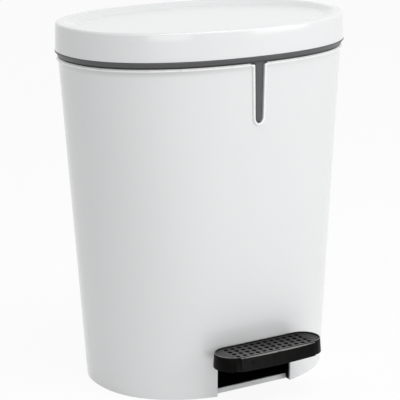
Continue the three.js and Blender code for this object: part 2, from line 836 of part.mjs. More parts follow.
// The bowed lip in front of the tray, in plan, with its walls moved inwards.
function lipOutline(inset) {
  const trayFront = pedalCentre - pedalDepth / 2;
  const half = pedalLipHalfWidth - inset;
  const shape = new THREE.Shape();
  shape.moveTo(half, pedalCentre);
  for (let step = 0; step <= lipSteps; step++) {
    const along = 1 - (2 * step) / lipSteps;
    shape.lineTo(half * along, trayFront - pedalLipProud + pedalLipBow * along ** 2 + inset);
  }
  shape.lineTo(-half, pedalCentre);
  return shape;
}

function makePedal() {
  const outline = (inset) => pill(pedalLength - 2 * inset, pedalDepth - 2 * inset, 0, pedalCentre);
  const tray = raised(outline(0), [pedalFoot, pedalTop]);
  const lip = raised(lipOutline(0), [pedalFoot, pedalTop - pedalLipDrop]);
  const body = tray.add(lip);
  const underside = raised(outline(pedalWall), [pedalFoot - cutMargin, webFoot]).add(
    raised(lipOutline(pedalWall), [pedalFoot - cutMargin, webFoot]),
  );
  const recess = raised(outline(pedalRimWall), [webTop, pedalTop + cutMargin]);
  const leverNotch = block(
    [-leverHalfWidth - pedalNotchGap, leverHalfWidth + pedalNotchGap],
    [pedalCentre, pedalCentre + pedalDepth],
    [pedalFoot - cutMargin, leverPadTop + pedalNotchGap],
  );
  const bosses = pedalScrewPlaces.map(([x, y]) =>
    barUp(pedalBossRadius, x, y, [leverPadTop + seatGap, webTop - pedalWeb / 2], smallSides),
  );
  const pilots = pedalScrewPlaces.map(([x, y]) =>
    barUp(screwRadius + boreGap, x, y, [leverPadTop - cutMargin, webTop - 1], smallSides),
  );
  const shell = cut(body, [underside, recess, leverNotch]);
  return cut(joined([shell, ...bosses]), pilots);
}

addPiece(pedal, "pedal_shell", makePedal(), blackSatin);

function makeTread() {
  const inset = pedalRimWall + seatGap;
  const plan = pill(pedalLength - 2 * inset, pedalDepth - 2 * inset, 0, pedalCentre);
  for (let column = 0; column < treadColumns; column++) {
    for (let row = 0; row < treadRows; row++) {
      const x = (column - (treadColumns - 1) / 2) * treadColumnPitch;
      const y = pedalCentre + (row - (treadRows - 1) / 2) * treadRowPitch;
      plan.holes.push(new THREE.Path().absarc(x, y, treadHoleRadius, 0, 2 * Math.PI, true));
    }
  }
  const foot = webTop + seatGap;
  return raised(plan, [foot, foot + treadThickness], 3);
}

addPiece(pedal, "pedal_tread", makeTread(), darkRubber);

const pedalScrewFoot = leverPadHeight - leverThickness / 2 - seatGap;
const pedalScrewLength = webTop - 1 - seatGap - pedalScrewFoot;
addScrews(pedal, "pedal_screw", pedalScrewPlaces, pedalScrewFoot, pedalScrewLength);

// ---------------------------------------------------------------- push rod, foot and guides

const leverTopAtRod = axleHeight - leverRearDrop + leverThickness / 2;
const footBottom = leverTopAtRod + rodFootLift;

function makeRod() {
  const bendStart = rodTop - rodBend;
  const rodFoot = footBottom + rodFootRadius - seatGap;
  const path = new THREE.CurvePath();
  path.add(
    new THREE.QuadraticBezierCurve3(
      new THREE.Vector3(0, rodBack, bendStart - 0.5),
      new THREE.Vector3(0, rodBack, rodTop),
      new THREE.Vector3(rodBend + 0.5, rodBack, rodTop),
    ),
  );
  const section = new THREE.Shape().absarc(0, 0, rodRadius, 0, 2 * Math.PI);
  const bend = new THREE.ExtrudeGeometry(section, {
    steps: 6,
    extrudePath: path,
    curveSegments: smallSides / 2,
  });
  return joined([
    barUp(rodRadius, 0, rodBack, [rodFoot, bendStart], smallSides),
    solid(bend),
    barAcross(rodRadius, [rodBend, rodPinLength], rodBack, rodTop, smallSides),
  ]);
}

addPiece(rod, "push_rod", makeRod(), steel);

function makeRodFoot() {
  const top = footBottom + rodFootHeight;
  const dome = new THREE.SphereGeometry(rodFootRadius, shaftSides, smallSides).rotateX(Math.PI / 2);
  const body = joined([
    solid(dome.translate(0, rodBack, footBottom + rodFootRadius)),
    barUp(rodFootRadius, 0, rodBack, [footBottom + rodFootRadius, top]),
  ]);
  const socket = barUp(
    rodRadius + boreGap,
    0,
    rodBack,
    [footBottom + rodFootRadius - 2 * seatGap, top + cutMargin],
    smallSides,
  );
  return body.subtract(socket);
}

addPiece(rod, "push_rod_foot", makeRodFoot(), blackSatin);

function makeGuide(height) {
  const wallInside = shellPlan(height)[1] - shellWall - seatGap;
  const body = block(
    [-guideWidth / 2, guideWidth / 2],
    [rodBack - guideFront, wallInside],
    [height, height + guideHeight],
  );
  const holeSpan = [height - cutMargin, height + guideHeight + cutMargin];
  const hole = barUp(rodRadius + boreGap, 0, rodBack, holeSpan);
  return body.subtract(hole);
}

addPiece(fixed, "rod_guide_lower", makeGuide(lowerGuideHeight), blackSatin);
addPiece(fixed, "rod_guide_upper", makeGuide(upperGuideHeight), blackSatin);

// ---------------------------------------------------------------- inner bucket, bail and grip

const bailHeight = bucketRim + bucketRimThickness + bailRise;
const bailHalfWidth = bucketTopHalfWidth - bucketWall - bailInset;
const earInner = bucketTopHalfWidth - bucketWall;
const earOuter = earInner + bailEarThickness;

// The part of an oval that runs round the bucket's front, between two angles.
class OvalArc extends THREE.Curve {
  constructor(start, end) {
    super();
    this.start = start;
    this.end = end;
  }

  getPoint(share, target = new THREE.Vector3()) {
    const place = ovalPoint(mix(this.start, this.end, share), bailHalfWidth, bailReach);
    return target.set(place.x, place.y + bucketBack, bailHeight);
  }
}

function makeBucket() {
  const rimTop = bucketRim + bucketRimThickness;
  const tub = ovalTurning(
    [
      [CENTRE, bucketFloorHeight],
      [-6, bucketFloorHeight],
      [0, bucketFloorHeight + 6],
      [0, bucketRim],
      [bucketRimWidth, bucketRim],
      [bucketRimWidth, rimTop],
      [-bucketWall, rimTop],
      [-bucketWall, bucketFloorHeight + 7],
      [-bucketWall - 5.5, bucketFloorHeight + bucketWall],
      [CENTRE, bucketFloorHeight + bucketWall],
    ],
    bucketPlan,
    bucketBack,
  );
  const earSpan = [bucketBack - bailEarLength / 2, bucketBack + bailEarLength / 2];
  const earTop = bailHeight + bailRadius + boreGap + bucketWall;
  const earRise = [bucketRim + bucketRimThickness / 2, earTop];
  const ears = [-1, 1].map((side) => block(inOrder(side * earInner, side * earOuter), earSpan, earRise));
  const pinHole = barAcross(
    bailRadius + boreGap,
    [-earOuter - cutMargin, earOuter + cutMargin],
    bucketBack,
    bailHeight,
    smallSides,
  );
  return joined([tub, ...ears]).subtract(pinHole);
}

addPiece(bucket, "inner_bucket", makeBucket(), greyPlastic);

function makeBail() {
  const section = new THREE.Shape().absarc(0, 0, bailRadius, 0, 2 * Math.PI);
  const bow = new THREE.ExtrudeGeometry(section, {
    steps: 36,
    extrudePath: new OvalArc(Math.PI, 2 * Math.PI),
    curveSegments: 4,
  });
  const pinEnd = earOuter + bailPinOverrun;
  const pins = [
    [-pinEnd, -bailHalfWidth + bailRadius],
    [bailHalfWidth - bailRadius, pinEnd],
  ].map((span) => barAcross(bailRadius, span, bucketBack, bailHeight, smallSides));
  return joined([solid(bow), ...pins]);
}

addPiece(bucket, "bucket_bail", makeBail(), steel);

function makeGrip() {
  const section = new THREE.Shape().absarc(0, 0, gripRadius, 0, 2 * Math.PI);
  section.holes.push(new THREE.Path().absarc(0, 0, bailRadius + boreGap, 0, 2 * Math.PI, true));
  const middle = 1.5 * Math.PI;
  const spread = gripShare * Math.PI;
  const path = new OvalArc(middle - spread, middle + spread);
  return solid(new THREE.ExtrudeGeometry(section, { steps: 12, extrudePath: path, curveSegments: 5 }));
}

addPiece(bucket, "bail_grip", makeGrip(), blackSatin);

// ---------------------------------------------------------------- whole bin

// The origin is on the floor, midway between the pedal's front and the hinge's back.
const pedalFront = pedalCentre - pedalDepth / 2 - pedalLipProud;
const hingeRear = hingeBack + hingeBarrelRadius;
bin.position.y = -(pedalFront + hingeRear) / 2;

export default bin;
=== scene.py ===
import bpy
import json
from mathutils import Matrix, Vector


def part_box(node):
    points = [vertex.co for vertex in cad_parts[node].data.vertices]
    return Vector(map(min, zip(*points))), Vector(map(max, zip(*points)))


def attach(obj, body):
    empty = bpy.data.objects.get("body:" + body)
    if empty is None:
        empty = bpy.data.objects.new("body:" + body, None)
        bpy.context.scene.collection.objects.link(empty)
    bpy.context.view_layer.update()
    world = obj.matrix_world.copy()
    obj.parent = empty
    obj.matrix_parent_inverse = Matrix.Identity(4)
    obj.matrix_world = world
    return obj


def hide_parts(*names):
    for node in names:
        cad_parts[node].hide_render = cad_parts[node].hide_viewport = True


bl_info = {
    "name": "Oval Pedal Bin",
    "version": (1, 0, 0),
    "blender": (4, 5, 0),
    "location": "3D View > Sidebar > Pedal Bin",
    "description": "Builds the finished surfaces of an oval pedal bin round its packed solids",
    "category": "Add Mesh",
}

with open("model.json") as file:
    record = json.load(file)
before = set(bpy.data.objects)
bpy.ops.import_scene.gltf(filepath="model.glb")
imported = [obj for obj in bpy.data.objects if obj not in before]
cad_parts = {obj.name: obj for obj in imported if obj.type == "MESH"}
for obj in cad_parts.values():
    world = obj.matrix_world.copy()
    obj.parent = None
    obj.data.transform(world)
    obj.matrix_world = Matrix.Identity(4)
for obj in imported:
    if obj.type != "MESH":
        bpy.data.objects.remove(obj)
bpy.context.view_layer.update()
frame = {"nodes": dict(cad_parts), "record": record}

import json
from math import atan2, cos, hypot, pi, radians, sin, tan

import bmesh
import bpy
from bpy.props import FloatProperty, FloatVectorProperty, IntProperty, PointerProperty
from mathutils import Matrix, Vector

SHELL_LOW, SHELL_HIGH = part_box("outer_shell")
LID_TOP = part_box("lid_shell")[1].z
PEDAL_LOW, PEDAL_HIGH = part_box("pedal_shell")
TREAD_LOW, TREAD_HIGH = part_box("pedal_tread")
BUCKET_LOW, BUCKET_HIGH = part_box("inner_bucket")
BAIL_LOW, BAIL_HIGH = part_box("bucket_bail")
PIN_LOW, PIN_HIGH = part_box("lid_hinge_pin")
HOUSING_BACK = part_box("pedal_housing")[1].y

MM = 0.001
MIDDLE = (SHELL_LOW.y + SHELL_HIGH.y) / 2  # the ovals' middle, along Y
BUCKET_MIDDLE = (BUCKET_LOW.y + BUCKET_HIGH.y) / 2
PIN_Y, PIN_Z = (PIN_LOW.y + PIN_HIGH.y) / 2, (PIN_LOW.z + PIN_HIGH.z) / 2

CRANK_SLOT_LEFT, CRANK_SLOT_RIGHT = 3.4 * MM, 13.4 * MM  # from the middle to the sides of the crank's slot
CRANK_SLOT_FRONT = 37.4 * MM  # from the hinge pin forward to the slot's end
PAN_GAP = 0.4 * MM  # between the housing's floor pan and each side of the doorway
PAN_SETBACK = 101.2 * MM  # from the ovals' middle forward to the pan's front edge
PAN_FOOT, PAN_TOP = 2.5 * MM, 3.3 * MM


# ---------------------------------------------------------------- sizes and colours a user may change


def length(name, description, default):
    return number(name, description, default, unit="LENGTH", precision=4)


def number(name, description, default, **more):
    return FloatProperty(name=name, description=description, default=default, **more)


def amount(name, description, default):
    return number(name, description, default, min=0, soft_max=1, subtype="FACTOR")


def count(name, description, default):
    return IntProperty(name=name, description=description, default=default)


def colour(name, description, default):
    return FloatVectorProperty(
        name=name, description=description, default=default, size=3, min=0, max=1, subtype="COLOR"
    )


class BinShellSizes(bpy.types.PropertyGroup):
    height: length("Height", "Height of the shell's top edge", 402.4 * MM)
    top_half_width: length("Top half width", "Half width of the shell at its top", 181.7 * MM)
    top_half_depth: length("Top half depth", "Half depth of the shell at its top", 125.4 * MM)
    plan_power: number("Plan power", "Exponent of the oval plan: 2 is an ellipse, more is squarer", 2.24)
    sides: count("Sides", "Straight pieces round the oval", 256)
    bead_proud: length("Bead proud", "How far the bead under the collar stands out", 2.0 * MM)
    bead_rise: length("Bead rise", "How far the bead stands up into the collar", 0.8 * MM)
    bead_height: length("Bead height", "Height of the bead under the collar", 2.8 * MM)
    foot_half_width: length("Foot half width", "Half width of the shell at the floor", 152.5 * MM)
    foot_half_depth: length("Foot half depth", "Half depth of the shell at the floor", 118.5 * MM)
    wall: length("Wall", "Thickness of the shell's wall", 2.5 * MM)
    doorway_half_width: length("Doorway half width", "Half width of the cut-out for the pedal", 53.1 * MM)
    doorway_height: length("Doorway height", "Height of the cut-out for the pedal", 58.5 * MM)


class BinTongueSizes(bpy.types.PropertyGroup):
    top_width: length("Top width", "Width of the tongue at the collar", 12 * MM)
    tip_width: length("Tip width", "Width of the tongue at its round tip", 9.5 * MM)
    reach: length("Length", "How far the tongue hangs below the shell's top edge", 70.1 * MM)
    thickness: length("Thickness", "Thickness of the tongue", 2.8 * MM)
    gap: length("Gap", "Gap between the tongue and its notch", 0.8 * MM)
    flare: length("Flare", "Radius where the tongue runs into the collar", 2.8 * MM)
    rim_width: length("Rim width", "Width of the raised rim round the notch", 3.2 * MM)
    rim_proud: length("Rim proud", "How far the raised rim stands out at the top", 2.2 * MM)


class BinCollarSizes(bpy.types.PropertyGroup):
    lip: length("Lip", "How far the collar's top edge stands out past the lid", 0.3 * MM)
    lip_height: length("Lip height", "Height of the collar's top edge", 1.5 * MM)
    height: length("Height", "Height of the visible band", 8.4 * MM)
    plate: length("Plate", "Thickness of the plate that the bucket hangs on", 2.5 * MM)
    spigot_depth: length("Spigot depth", "How far the skirt inside the shell reaches down", 10.7 * MM)
    spigot_wall: length("Spigot wall", "Thickness of the skirt inside the shell", 2 * MM)
    seat_gap: length("Seat gap", "Gap between pieces that rest on each other", 0.3 * MM)
    knuckle_start: length("Knuckle start", "Where the hinge barrels begin, from the middle", 28.3 * MM)
    knuckle_length: length("Knuckle length", "Length of each hinge barrel", 15 * MM)
    barrel_radius: length("Barrel radius", "Radius of the hinge barrels", 5 * MM)
    bore_radius: length("Bore radius", "Radius of the hole for the hinge pin", 2.2 * MM)


class BinLidSizes(bpy.types.PropertyGroup):
    overhang: length("Overhang", "How far the lid's foot stands out past the shell's top", 3.3 * MM)
    wall: length("Wall", "Thickness of the lid", 2.5 * MM)
    draft: length("Draft", "How far the skirt leans in over its height", 0.9 * MM)
    edge_radius: length("Edge radius", "Rounding of the lid's top edge", 3.4 * MM)
    rim_width: length("Rim width", "Flat rim round the dish", 12 * MM)
    dish_depth: length("Dish depth", "How far the dish lies below the rim", 5.5 * MM)
    dish_slope: length("Dish slope", "Plan width of the slope into the dish", 11 * MM)
    boss_middle: length("Boss middle", "Place of the crank's two bosses along X", 7.3 * MM)
    boss_spread: length("Boss spread", "From that place to each boss", 11 * MM)
    boss_setback: length("Boss setback", "From the hinge pin forward to the bosses", 45 * MM)
    boss_radius: length("Boss radius", "Radius of the bosses for the crank's screws", 4 * MM)
    pilot_radius: length("Pilot radius", "Radius of the screw holes in the bosses", 1.7 * MM)


class BinPedalSizes(bpy.types.PropertyGroup):
    wall: length("Wall", "Thickness of the pedal's skirt", 2.5 * MM)
    rim_wall: length("Rim wall", "Width of the raised rim", 2.4 * MM)
    recess: length("Recess", "Depth of the recess for the tread", 4.8 * MM)
    web: length("Web", "Thickness of the plate under the tread", 2.5 * MM)
    lip_half_width: length("Lip half width", "Half width of the bowed lip in front of the tray", 53 * MM)
    lip_proud: length("Lip proud", "How far the lip's middle stands in front of the tray", 5.3 * MM)
    lip_bow: length("Lip bow", "How much less proud the lip is at its ends", 3.1 * MM)
    lip_drop: length("Lip drop", "From the tray's rim down to the lip", 0.8 * MM)
    hole_column_pitch: length("Hole column pitch", "Distance between the tread's holes, along it", 9.26 * MM)
    hole_row_pitch: length("Hole row pitch", "Distance between the tread's holes, across it", 8.96 * MM)
    hole_radius: length("Hole radius", "Half the width of the tread's holes", 2.75 * MM)
    hole_stretch: amount("Hole stretch", "Depth of a hole in plan for its width", 1.2)
    hole_columns: count("Columns", "Holes along the tread", 12)
    hole_rows: count("Rows", "Holes across the tread", 4)
    notch_half_width: length("Notch half width", "Half width of the skirt's notch for the lever", 21 * MM)
    notch_height: length("Notch height", "Height of the skirt's notch for the lever", 8.2 * MM)
    draft: length("Draft", "How far the skirt leans in from its foot to its top", 1.3 * MM)


class BinBucketSizes(bpy.types.PropertyGroup):
    wall: length("Wall", "Thickness of the bucket", 2 * MM)
    rim_height: length("Rim height", "Height of the rim's underside", 411.4 * MM)
    rim_width: length("Rim width", "How far the rim stands out", 7 * MM)
    rim_thickness: length("Rim thickness", "Thickness of the rim", 2 * MM)
    ear_thickness: length("Ear thickness", "Thickness of the ears that hold the bail", 7 * MM)
    bail_inset: length("Bail inset", "From the bucket's inner wall to the bail", 7 * MM)
    bail_reach: length("Bail reach", "How far the bail reaches forward from its ears", 92 * MM)
    grip_share: amount("Grip share", "Part of the half oval that the grip covers to each side", 0.16)
    taper: length("Taper", "How far front and back lean in over the height", 12 * MM)
    foot_half_width: length("Foot half width", "Half width of the bucket's floor", 138 * MM)
    bail_radius: length("Bail radius", "Radius of the bail's wire", 2 * MM)
    grip_radius: length("Grip radius", "Radius of the bail's grip", 4.5 * MM)


class BinFinishes(bpy.types.PropertyGroup):
    white: colour("White", "White moulded plastic", (0.82, 0.83, 0.835))
    collar_grey: colour("Collar grey", "Grey of the collar and its tongue", (0.1, 0.102, 0.105))
    black: colour("Black", "Black moulded plastic", (0.002, 0.002, 0.0018))
    tread_grey: colour("Tread grey", "Dark grey of the tread", (0.014, 0.014, 0.015))
    bucket_grey: colour("Bucket grey", "Light grey of the inner bucket", (0.42, 0.44, 0.45))
    steel: colour("Steel", "Drawn steel", (0.5, 0.51, 0.52))
    wear: amount("Wear", "How much the edges are scuffed", 0.35)


class BinStage(bpy.types.PropertyGroup):
    azimuth: number("Azimuth", "Turn of the view from straight ahead", radians(-32.04), subtype="ANGLE")
    elevation: number("Elevation", "Tilt of the view below the horizon", radians(13.47), subtype="ANGLE")
    roll: number("Roll", "Lean of the view", radians(-0.52), subtype="ANGLE")
    eye_side: length("Eye across", "Camera's place along X", -1.08939)
    eye_back: length("Eye back", "Camera's place along Y from the oval's middle", -1.741)
    eye_height: length("Eye height", "Camera's height", 0.73098)
    lens: number("Lens", "Focal length in millimetres", 153.2)
    shift_x: number("Shift X", "Sideways shift of the view", -0.0078)
    shift_y: number("Shift Y", "Upward shift of the view", -0.051)
    world_light: number("World light", "Strength of the light all round", 0.46)
    key_light: number("Key light", "Power of the softbox on the right", 11, unit="POWER")
    top_light: number("Top light", "Power of the softbox overhead", 14.5, unit="POWER")
    strip_light: number("Strip light", "Power of the low strip", 1.1, unit="POWER")
    fill_light: number("Fill light", "Power of the softbox in front", 6.5, unit="POWER")
    floor_white: number("Floor white", "Paleness of the floor to the camera", 0.92)


# ---------------------------------------------------------------- modelling helpers


def deselect():
    bpy.ops.object.select_all(action="DESELECT")


def take(piece):
    deselect()
    piece.select_set(True)
    bpy.context.view_layer.objects.active = piece


def place_in_mesh(piece):
    take(piece)
    bpy.ops.object.transform_apply(location=True, rotation=True, scale=True)


def select_edges(piece, wanted):
    """Selects the edges of a piece in edit mode for which wanted is true."""
    mesh = bmesh.from_edit_mesh(piece.data)
    for element in list(mesh.verts) + list(mesh.edges) + list(mesh.faces):
        element.select_set(False)
    for edge in mesh.edges:
        if wanted(edge):
            edge.select_set(True)
    mesh.select_flush_mode()
    bmesh.update_edit_mesh(piece.data)


def oval_point(angle, half_width, half_depth, power):
    x, y = cos(angle), sin(angle)
    across = half_width * abs(x) ** (2 / power) * (1 if x >= 0 else -1)
    along = half_depth * abs(y) ** (2 / power) * (1 if y >= 0 else -1)
    return across, along


def lay_loop(name, points):
    """A loop of edges through points (x, y, z), in their order."""
    deselect()
    bpy.ops.mesh.primitive_circle_add(vertices=len(points), radius=1, fill_type="NOTHING")
    piece = bpy.context.object
    piece.name = name
    for vertex, spot in zip(piece.data.vertices, points):
        vertex.co = spot
    return piece


def turn_oval(name, profile, plan, middle=None, closed=True):
    """Spins a profile of (outset, height) round a circle, then draws the circle out to the oval plan.
    An open profile has both its ends closed by flat faces."""
    sizes = bpy.context.scene.bin_shell
    middle = MIDDLE if middle is None else middle
    radius = 1.0
    loop = profile[:-1] if closed else profile
    piece = lay_loop(name, [(radius + outset, 0, z) for outset, z in loop])
    take(piece)
    bpy.ops.object.mode_set(mode="EDIT")
    if not closed:
        ends = {0, len(loop) - 1}
        select_edges(piece, lambda edge: {vertex.index for vertex in edge.verts} == ends)
        bpy.ops.mesh.delete(type="EDGE")
    bpy.ops.mesh.select_all(action="SELECT")
    bpy.ops.mesh.spin(steps=sizes.sides, angle=2 * pi, center=(0, 0, 0), axis=(0, 0, 1), use_auto_merge=True)
    bpy.ops.mesh.select_all(action="SELECT")
    bpy.ops.mesh.remove_doubles(threshold=1e-5)
    if not closed:
        bpy.ops.mesh.fill_holes(sides=0)
    bpy.ops.mesh.select_all(action="SELECT")
    bpy.ops.mesh.normals_make_consistent(inside=False)
    bpy.ops.object.mode_set(mode="OBJECT")
    for vertex in piece.data.vertices:
        x, y, z = vertex.co
        outset = hypot(x, y) - radius
        half_width, half_depth = plan(z)
        across, along = oval_point(atan2(y, x), half_width + outset, half_depth + outset, sizes.plan_power)
        vertex.co = (across, middle + along, z)
    return piece


def rounded(corners, steps=4):
    """A profile with its corners rounded: each corner is outset, height and radius."""
    points = []
    for index, (x, z, radius) in enumerate(corners):
        here = Vector((x, z))
        if not radius or index in (0, len(corners) - 1):
            points.append(here)
            continue
        before = (Vector(corners[index - 1][:2]) - here).normalized()
        after = (Vector(corners[index + 1][:2]) - here).normalized()
        half_turn = before.angle(after) / 2
        middle = here + (before + after).normalized() * radius / sin(half_turn)
        start = here + before * radius / tan(half_turn) - middle
        end = here + after * radius / tan(half_turn) - middle
        for step in range(steps + 1):
            points.append(middle + start.lerp(end, step / steps).normalized() * radius)
    return points


def with_rings(points, spacing):
    """Adds points along the long straight stretches of a profile."""
    result = [points[0]]
    for here in points[1:]:
        last = result[-1]
        pieces = int((here - last).length / spacing) + 1
        result += [last.lerp(here, step / pieces) for step in range(1, pieces)]
        result.append(here)
    return result


def carve(piece, cutter, operation="DIFFERENCE"):
    take(piece)
    before = piece.dimensions.copy()
    boolean = piece.modifiers.new("Carve", "BOOLEAN")
    boolean.operation = operation
    boolean.solver = "EXACT"
    boolean.object = cutter
    bpy.ops.object.modifier_apply(modifier=boolean.name)
    if max(abs(now - then) for now, then in zip(piece.dimensions, before)) > 0.06:
        raise RuntimeError(f"{piece.name} lost its shape when {cutter.name} was applied to it")
    bpy.data.objects.remove(cutter)


def soften(piece, width, segments=2, angle=radians(40)):
    """Rounds the edges that turn more than an angle."""
    take(piece)
    bevel = piece.modifiers.new("Soften", "BEVEL")
    bevel.width = width
    bevel.segments = segments
    bevel.limit_method = "ANGLE"
    bevel.angle_limit = angle
    bevel.use_clamp_overlap = True
    bpy.ops.object.modifier_apply(modifier=bevel.name)


def finish_piece(piece, body, slot, *nodes, smooth=radians(30)):
    take(piece)
    bpy.ops.object.shade_smooth_by_angle(angle=smooth)
    piece.data.materials.clear()
    piece.data.materials.append(finish_for(slot))
    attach(piece, body)
    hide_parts(*nodes)


def clamp(share):
    return min(max(share, 0), 1)


def mark(piece, label, share):
    """Stores a share for each point of a piece, which the finishes read as a mask."""
    mask = piece.data.attributes.new(label, "FLOAT", "POINT")
    for point, stored in zip(piece.data.vertices, mask.data):
        stored.value = share(point.co)


def block(name, low, high):
    deselect()
    bpy.ops.mesh.primitive_cube_add(size=1)
    piece = bpy.context.object
    piece.name = name
    piece.scale = Vector(high) - Vector(low)
    piece.location = (Vector(high) + Vector(low)) / 2
    place_in_mesh(piece)
    return piece


def bar(name, start, end, radius, sides=48):
    deselect()
    start, end = Vector(start), Vector(end)
    bpy.ops.mesh.primitive_cylinder_add(vertices=sides, radius=radius, depth=(end - start).length)
    piece = bpy.context.object
    piece.name = name
    piece.rotation_euler = (end - start).to_track_quat("Z", "Y").to_euler()
    piece.location = (start + end) / 2
    place_in_mesh(piece)
    return piece


def pill(name, half_length, half_width, low, high, middle):
    """A block with round ends, lying along X."""
    deselect()
    bpy.ops.mesh.primitive_cylinder_add(vertices=96, radius=half_width, depth=high - low)
    piece = bpy.context.object
    piece.name = name
    straight = half_length - half_width
    for vertex in piece.data.vertices:
        vertex.co.x += straight if vertex.co.x > 0 else -straight
    piece.location = (0, middle, (low + high) / 2)
    place_in_mesh(piece)
    return piece


def lay_outline(name, points, span):
    """A flat outline given as points (x, z), carried along Y over a span."""
    piece = lay_loop(name, [(x, span[0], z) for x, z in points])
    take(piece)
    bpy.ops.object.mode_set(mode="EDIT")
    bpy.ops.mesh.select_all(action="SELECT")
    bpy.ops.mesh.edge_face_add()
    bpy.ops.mesh.extrude_region_move(TRANSFORM_OT_translate={"value": (0, span[1] - span[0], 0)})
    bpy.ops.mesh.select_all(action="SELECT")
    bpy.ops.mesh.normals_make_consistent(inside=False)
    bpy.ops.object.mode_set(mode="OBJECT")
    return piece


def close_up(piece):
    """Joins points that coincide, closes the open ends and turns the faces outward."""
    take(piece)
    bpy.ops.object.mode_set(mode="EDIT")
    bpy.ops.mesh.select_all(action="SELECT")
    bpy.ops.mesh.remove_doubles(threshold=1e-6)
    bpy.ops.mesh.fill_holes(sides=0)
    bpy.ops.mesh.select_all(action="SELECT")
    bpy.ops.mesh.normals_make_consistent(inside=False)
    bpy.ops.object.mode_set(mode="OBJECT")


def lay_rows(name, rows):
    """A sheet through rows of points, each row with the same number of points."""
    deselect()
    bpy.ops.mesh.primitive_grid_add(x_subdivisions=len(rows[0]) - 1, y_subdivisions=len(rows) - 1)
    piece = bpy.context.object
    piece.name = name
    for vertex, spot in zip(piece.data.vertices, (point for row in rows for point in row)):
        vertex.co = spot
    return piece


# ---------------------------------------------------------------- plans that several pieces share


def shell_plan(z):
    sizes = bpy.context.scene.bin_shell
    share = z / sizes.height
    half_width = sizes.foot_half_width + (sizes.top_half_width - sizes.foot_half_width) * share
    half_depth = sizes.foot_half_depth + (sizes.top_half_depth - sizes.foot_half_depth) * share
    return half_width, half_depth


def lid_plan(_z):
    sizes = bpy.context.scene.bin_shell
    overhang = bpy.context.scene.bin_lid.overhang
    return sizes.top_half_width + overhang, sizes.top_half_depth + overhang


def front_wall(x, z, outset=0.0):
    """Y of the shell's front wall at a place, moved out by an outset."""
    half_width, half_depth = shell_plan(z)
    power = bpy.context.scene.bin_shell.plan_power
    share = min(abs(x) / half_width, 1)
    return MIDDLE - half_depth * (1 - share**power) ** (1 / power) - outset


def tongue_outline(margin, top=None, steps=14):
    """The tongue's outline round its tip, moved out by a margin.
    It starts level along the collar, or runs up to a top."""
    sizes = bpy.context.scene.bin_tongue
    collar_foot = bpy.context.scene.bin_shell.height + bpy.context.scene.bin_collar.seat_gap
    half_top, half_tip = sizes.top_width / 2, sizes.tip_width / 2
    tip_rise = sizes.tip_width * 0.66
    tip_start = bpy.context.scene.bin_shell.height - sizes.reach + tip_rise
    flare = max(sizes.flare - margin, 0.2 * MM)
    centre = Vector((-(half_top + margin + flare), collar_foot - margin - flare))
    left = [Vector((centre.x - 3 * MM, centre.y + flare))]
    if top:
        left.insert(0, Vector((centre.x - 3 * MM, top)))
    for step in range(steps // 2 + 1):
        turn = (1 - step / (steps // 2)) * pi / 2
        left.append(centre + Vector((cos(turn), sin(turn))) * flare)
    start = left[-1]
    foot = Vector((-(half_tip + margin), tip_start))
    left += [start.lerp(foot, step / 24) for step in range(1, 24)]
    for step in range(steps):
        turn = step / steps * pi / 2
        left.append(Vector((-(half_tip + margin) * cos(turn), tip_start - (tip_rise + margin) * sin(turn))))
    tip = Vector((0, tip_start - tip_rise - margin))
    return left + [tip] + [Vector((-point.x, point.y)) for point in reversed(left)]


# ---------------------------------------------------------------- finishes


def new_group(name, inputs, outputs):
    group = bpy.data.node_groups.new(name, "ShaderNodeTree")
    for label, kind, default in inputs:
        socket = group.interface.new_socket(label, in_out="INPUT", socket_type=kind)
        socket.default_value = default
    for label, kind in outputs:
        group.interface.new_socket(label, in_out="OUTPUT", socket_type=kind)
    return group, group.nodes.new("NodeGroupInput"), group.nodes.new("NodeGroupOutput")


def place(tree, kind, inputs=(), **settings):
    """A node with its settings, and its inputs set or linked by name or number."""
    node = tree.nodes.new(kind)
    for label, value in settings.items():
        setattr(node, label, value)
    for label, value in dict(inputs).items():
        if isinstance(value, bpy.types.NodeSocket):
            tree.links.new(value, node.inputs[label])
        else:
            node.inputs[label].default_value = value
    return node


def maths(tree, operation, first, second=0.0, clamped=False):
    node = place(tree, "ShaderNodeMath", {0: first, 1: second}, operation=operation, use_clamp=clamped)
    return node.outputs[0]


def blend_colour(tree, share, first, second, kind="MIX"):
    node = place(tree, "ShaderNodeMix", data_type="RGBA", blend_type=kind)
    for label, value in (("Factor", share), ("A", first), ("B", second)):
        socket = next(s for s in node.inputs if s.name == label and s.type in ("RGBA", "VALUE") and s.enabled)
        if isinstance(value, bpy.types.NodeSocket):
            tree.links.new(value, socket)
        else:
            socket.default_value = value
    return next(s for s in node.outputs if s.enabled and s.type == "RGBA")


def ramp(tree, value, low, high, start=0.0, end=1.0):
    ends = {"From Min": low, "From Max": high, "To Min": start, "To Max": end}
    return place(tree, "ShaderNodeMapRange", {"Value": value, **ends}).outputs["Result"]


def seen_directly(tree):
    """1 for what the camera sees, also in gloss or through something clear, and 0 for all other light."""
    rays = place(tree, "ShaderNodeLightPath")
    seen = maths(tree, "MAXIMUM", rays.outputs["Is Camera Ray"], rays.outputs["Is Glossy Ray"])
    return maths(tree, "MAXIMUM", seen, rays.outputs["Is Transmission Ray"])


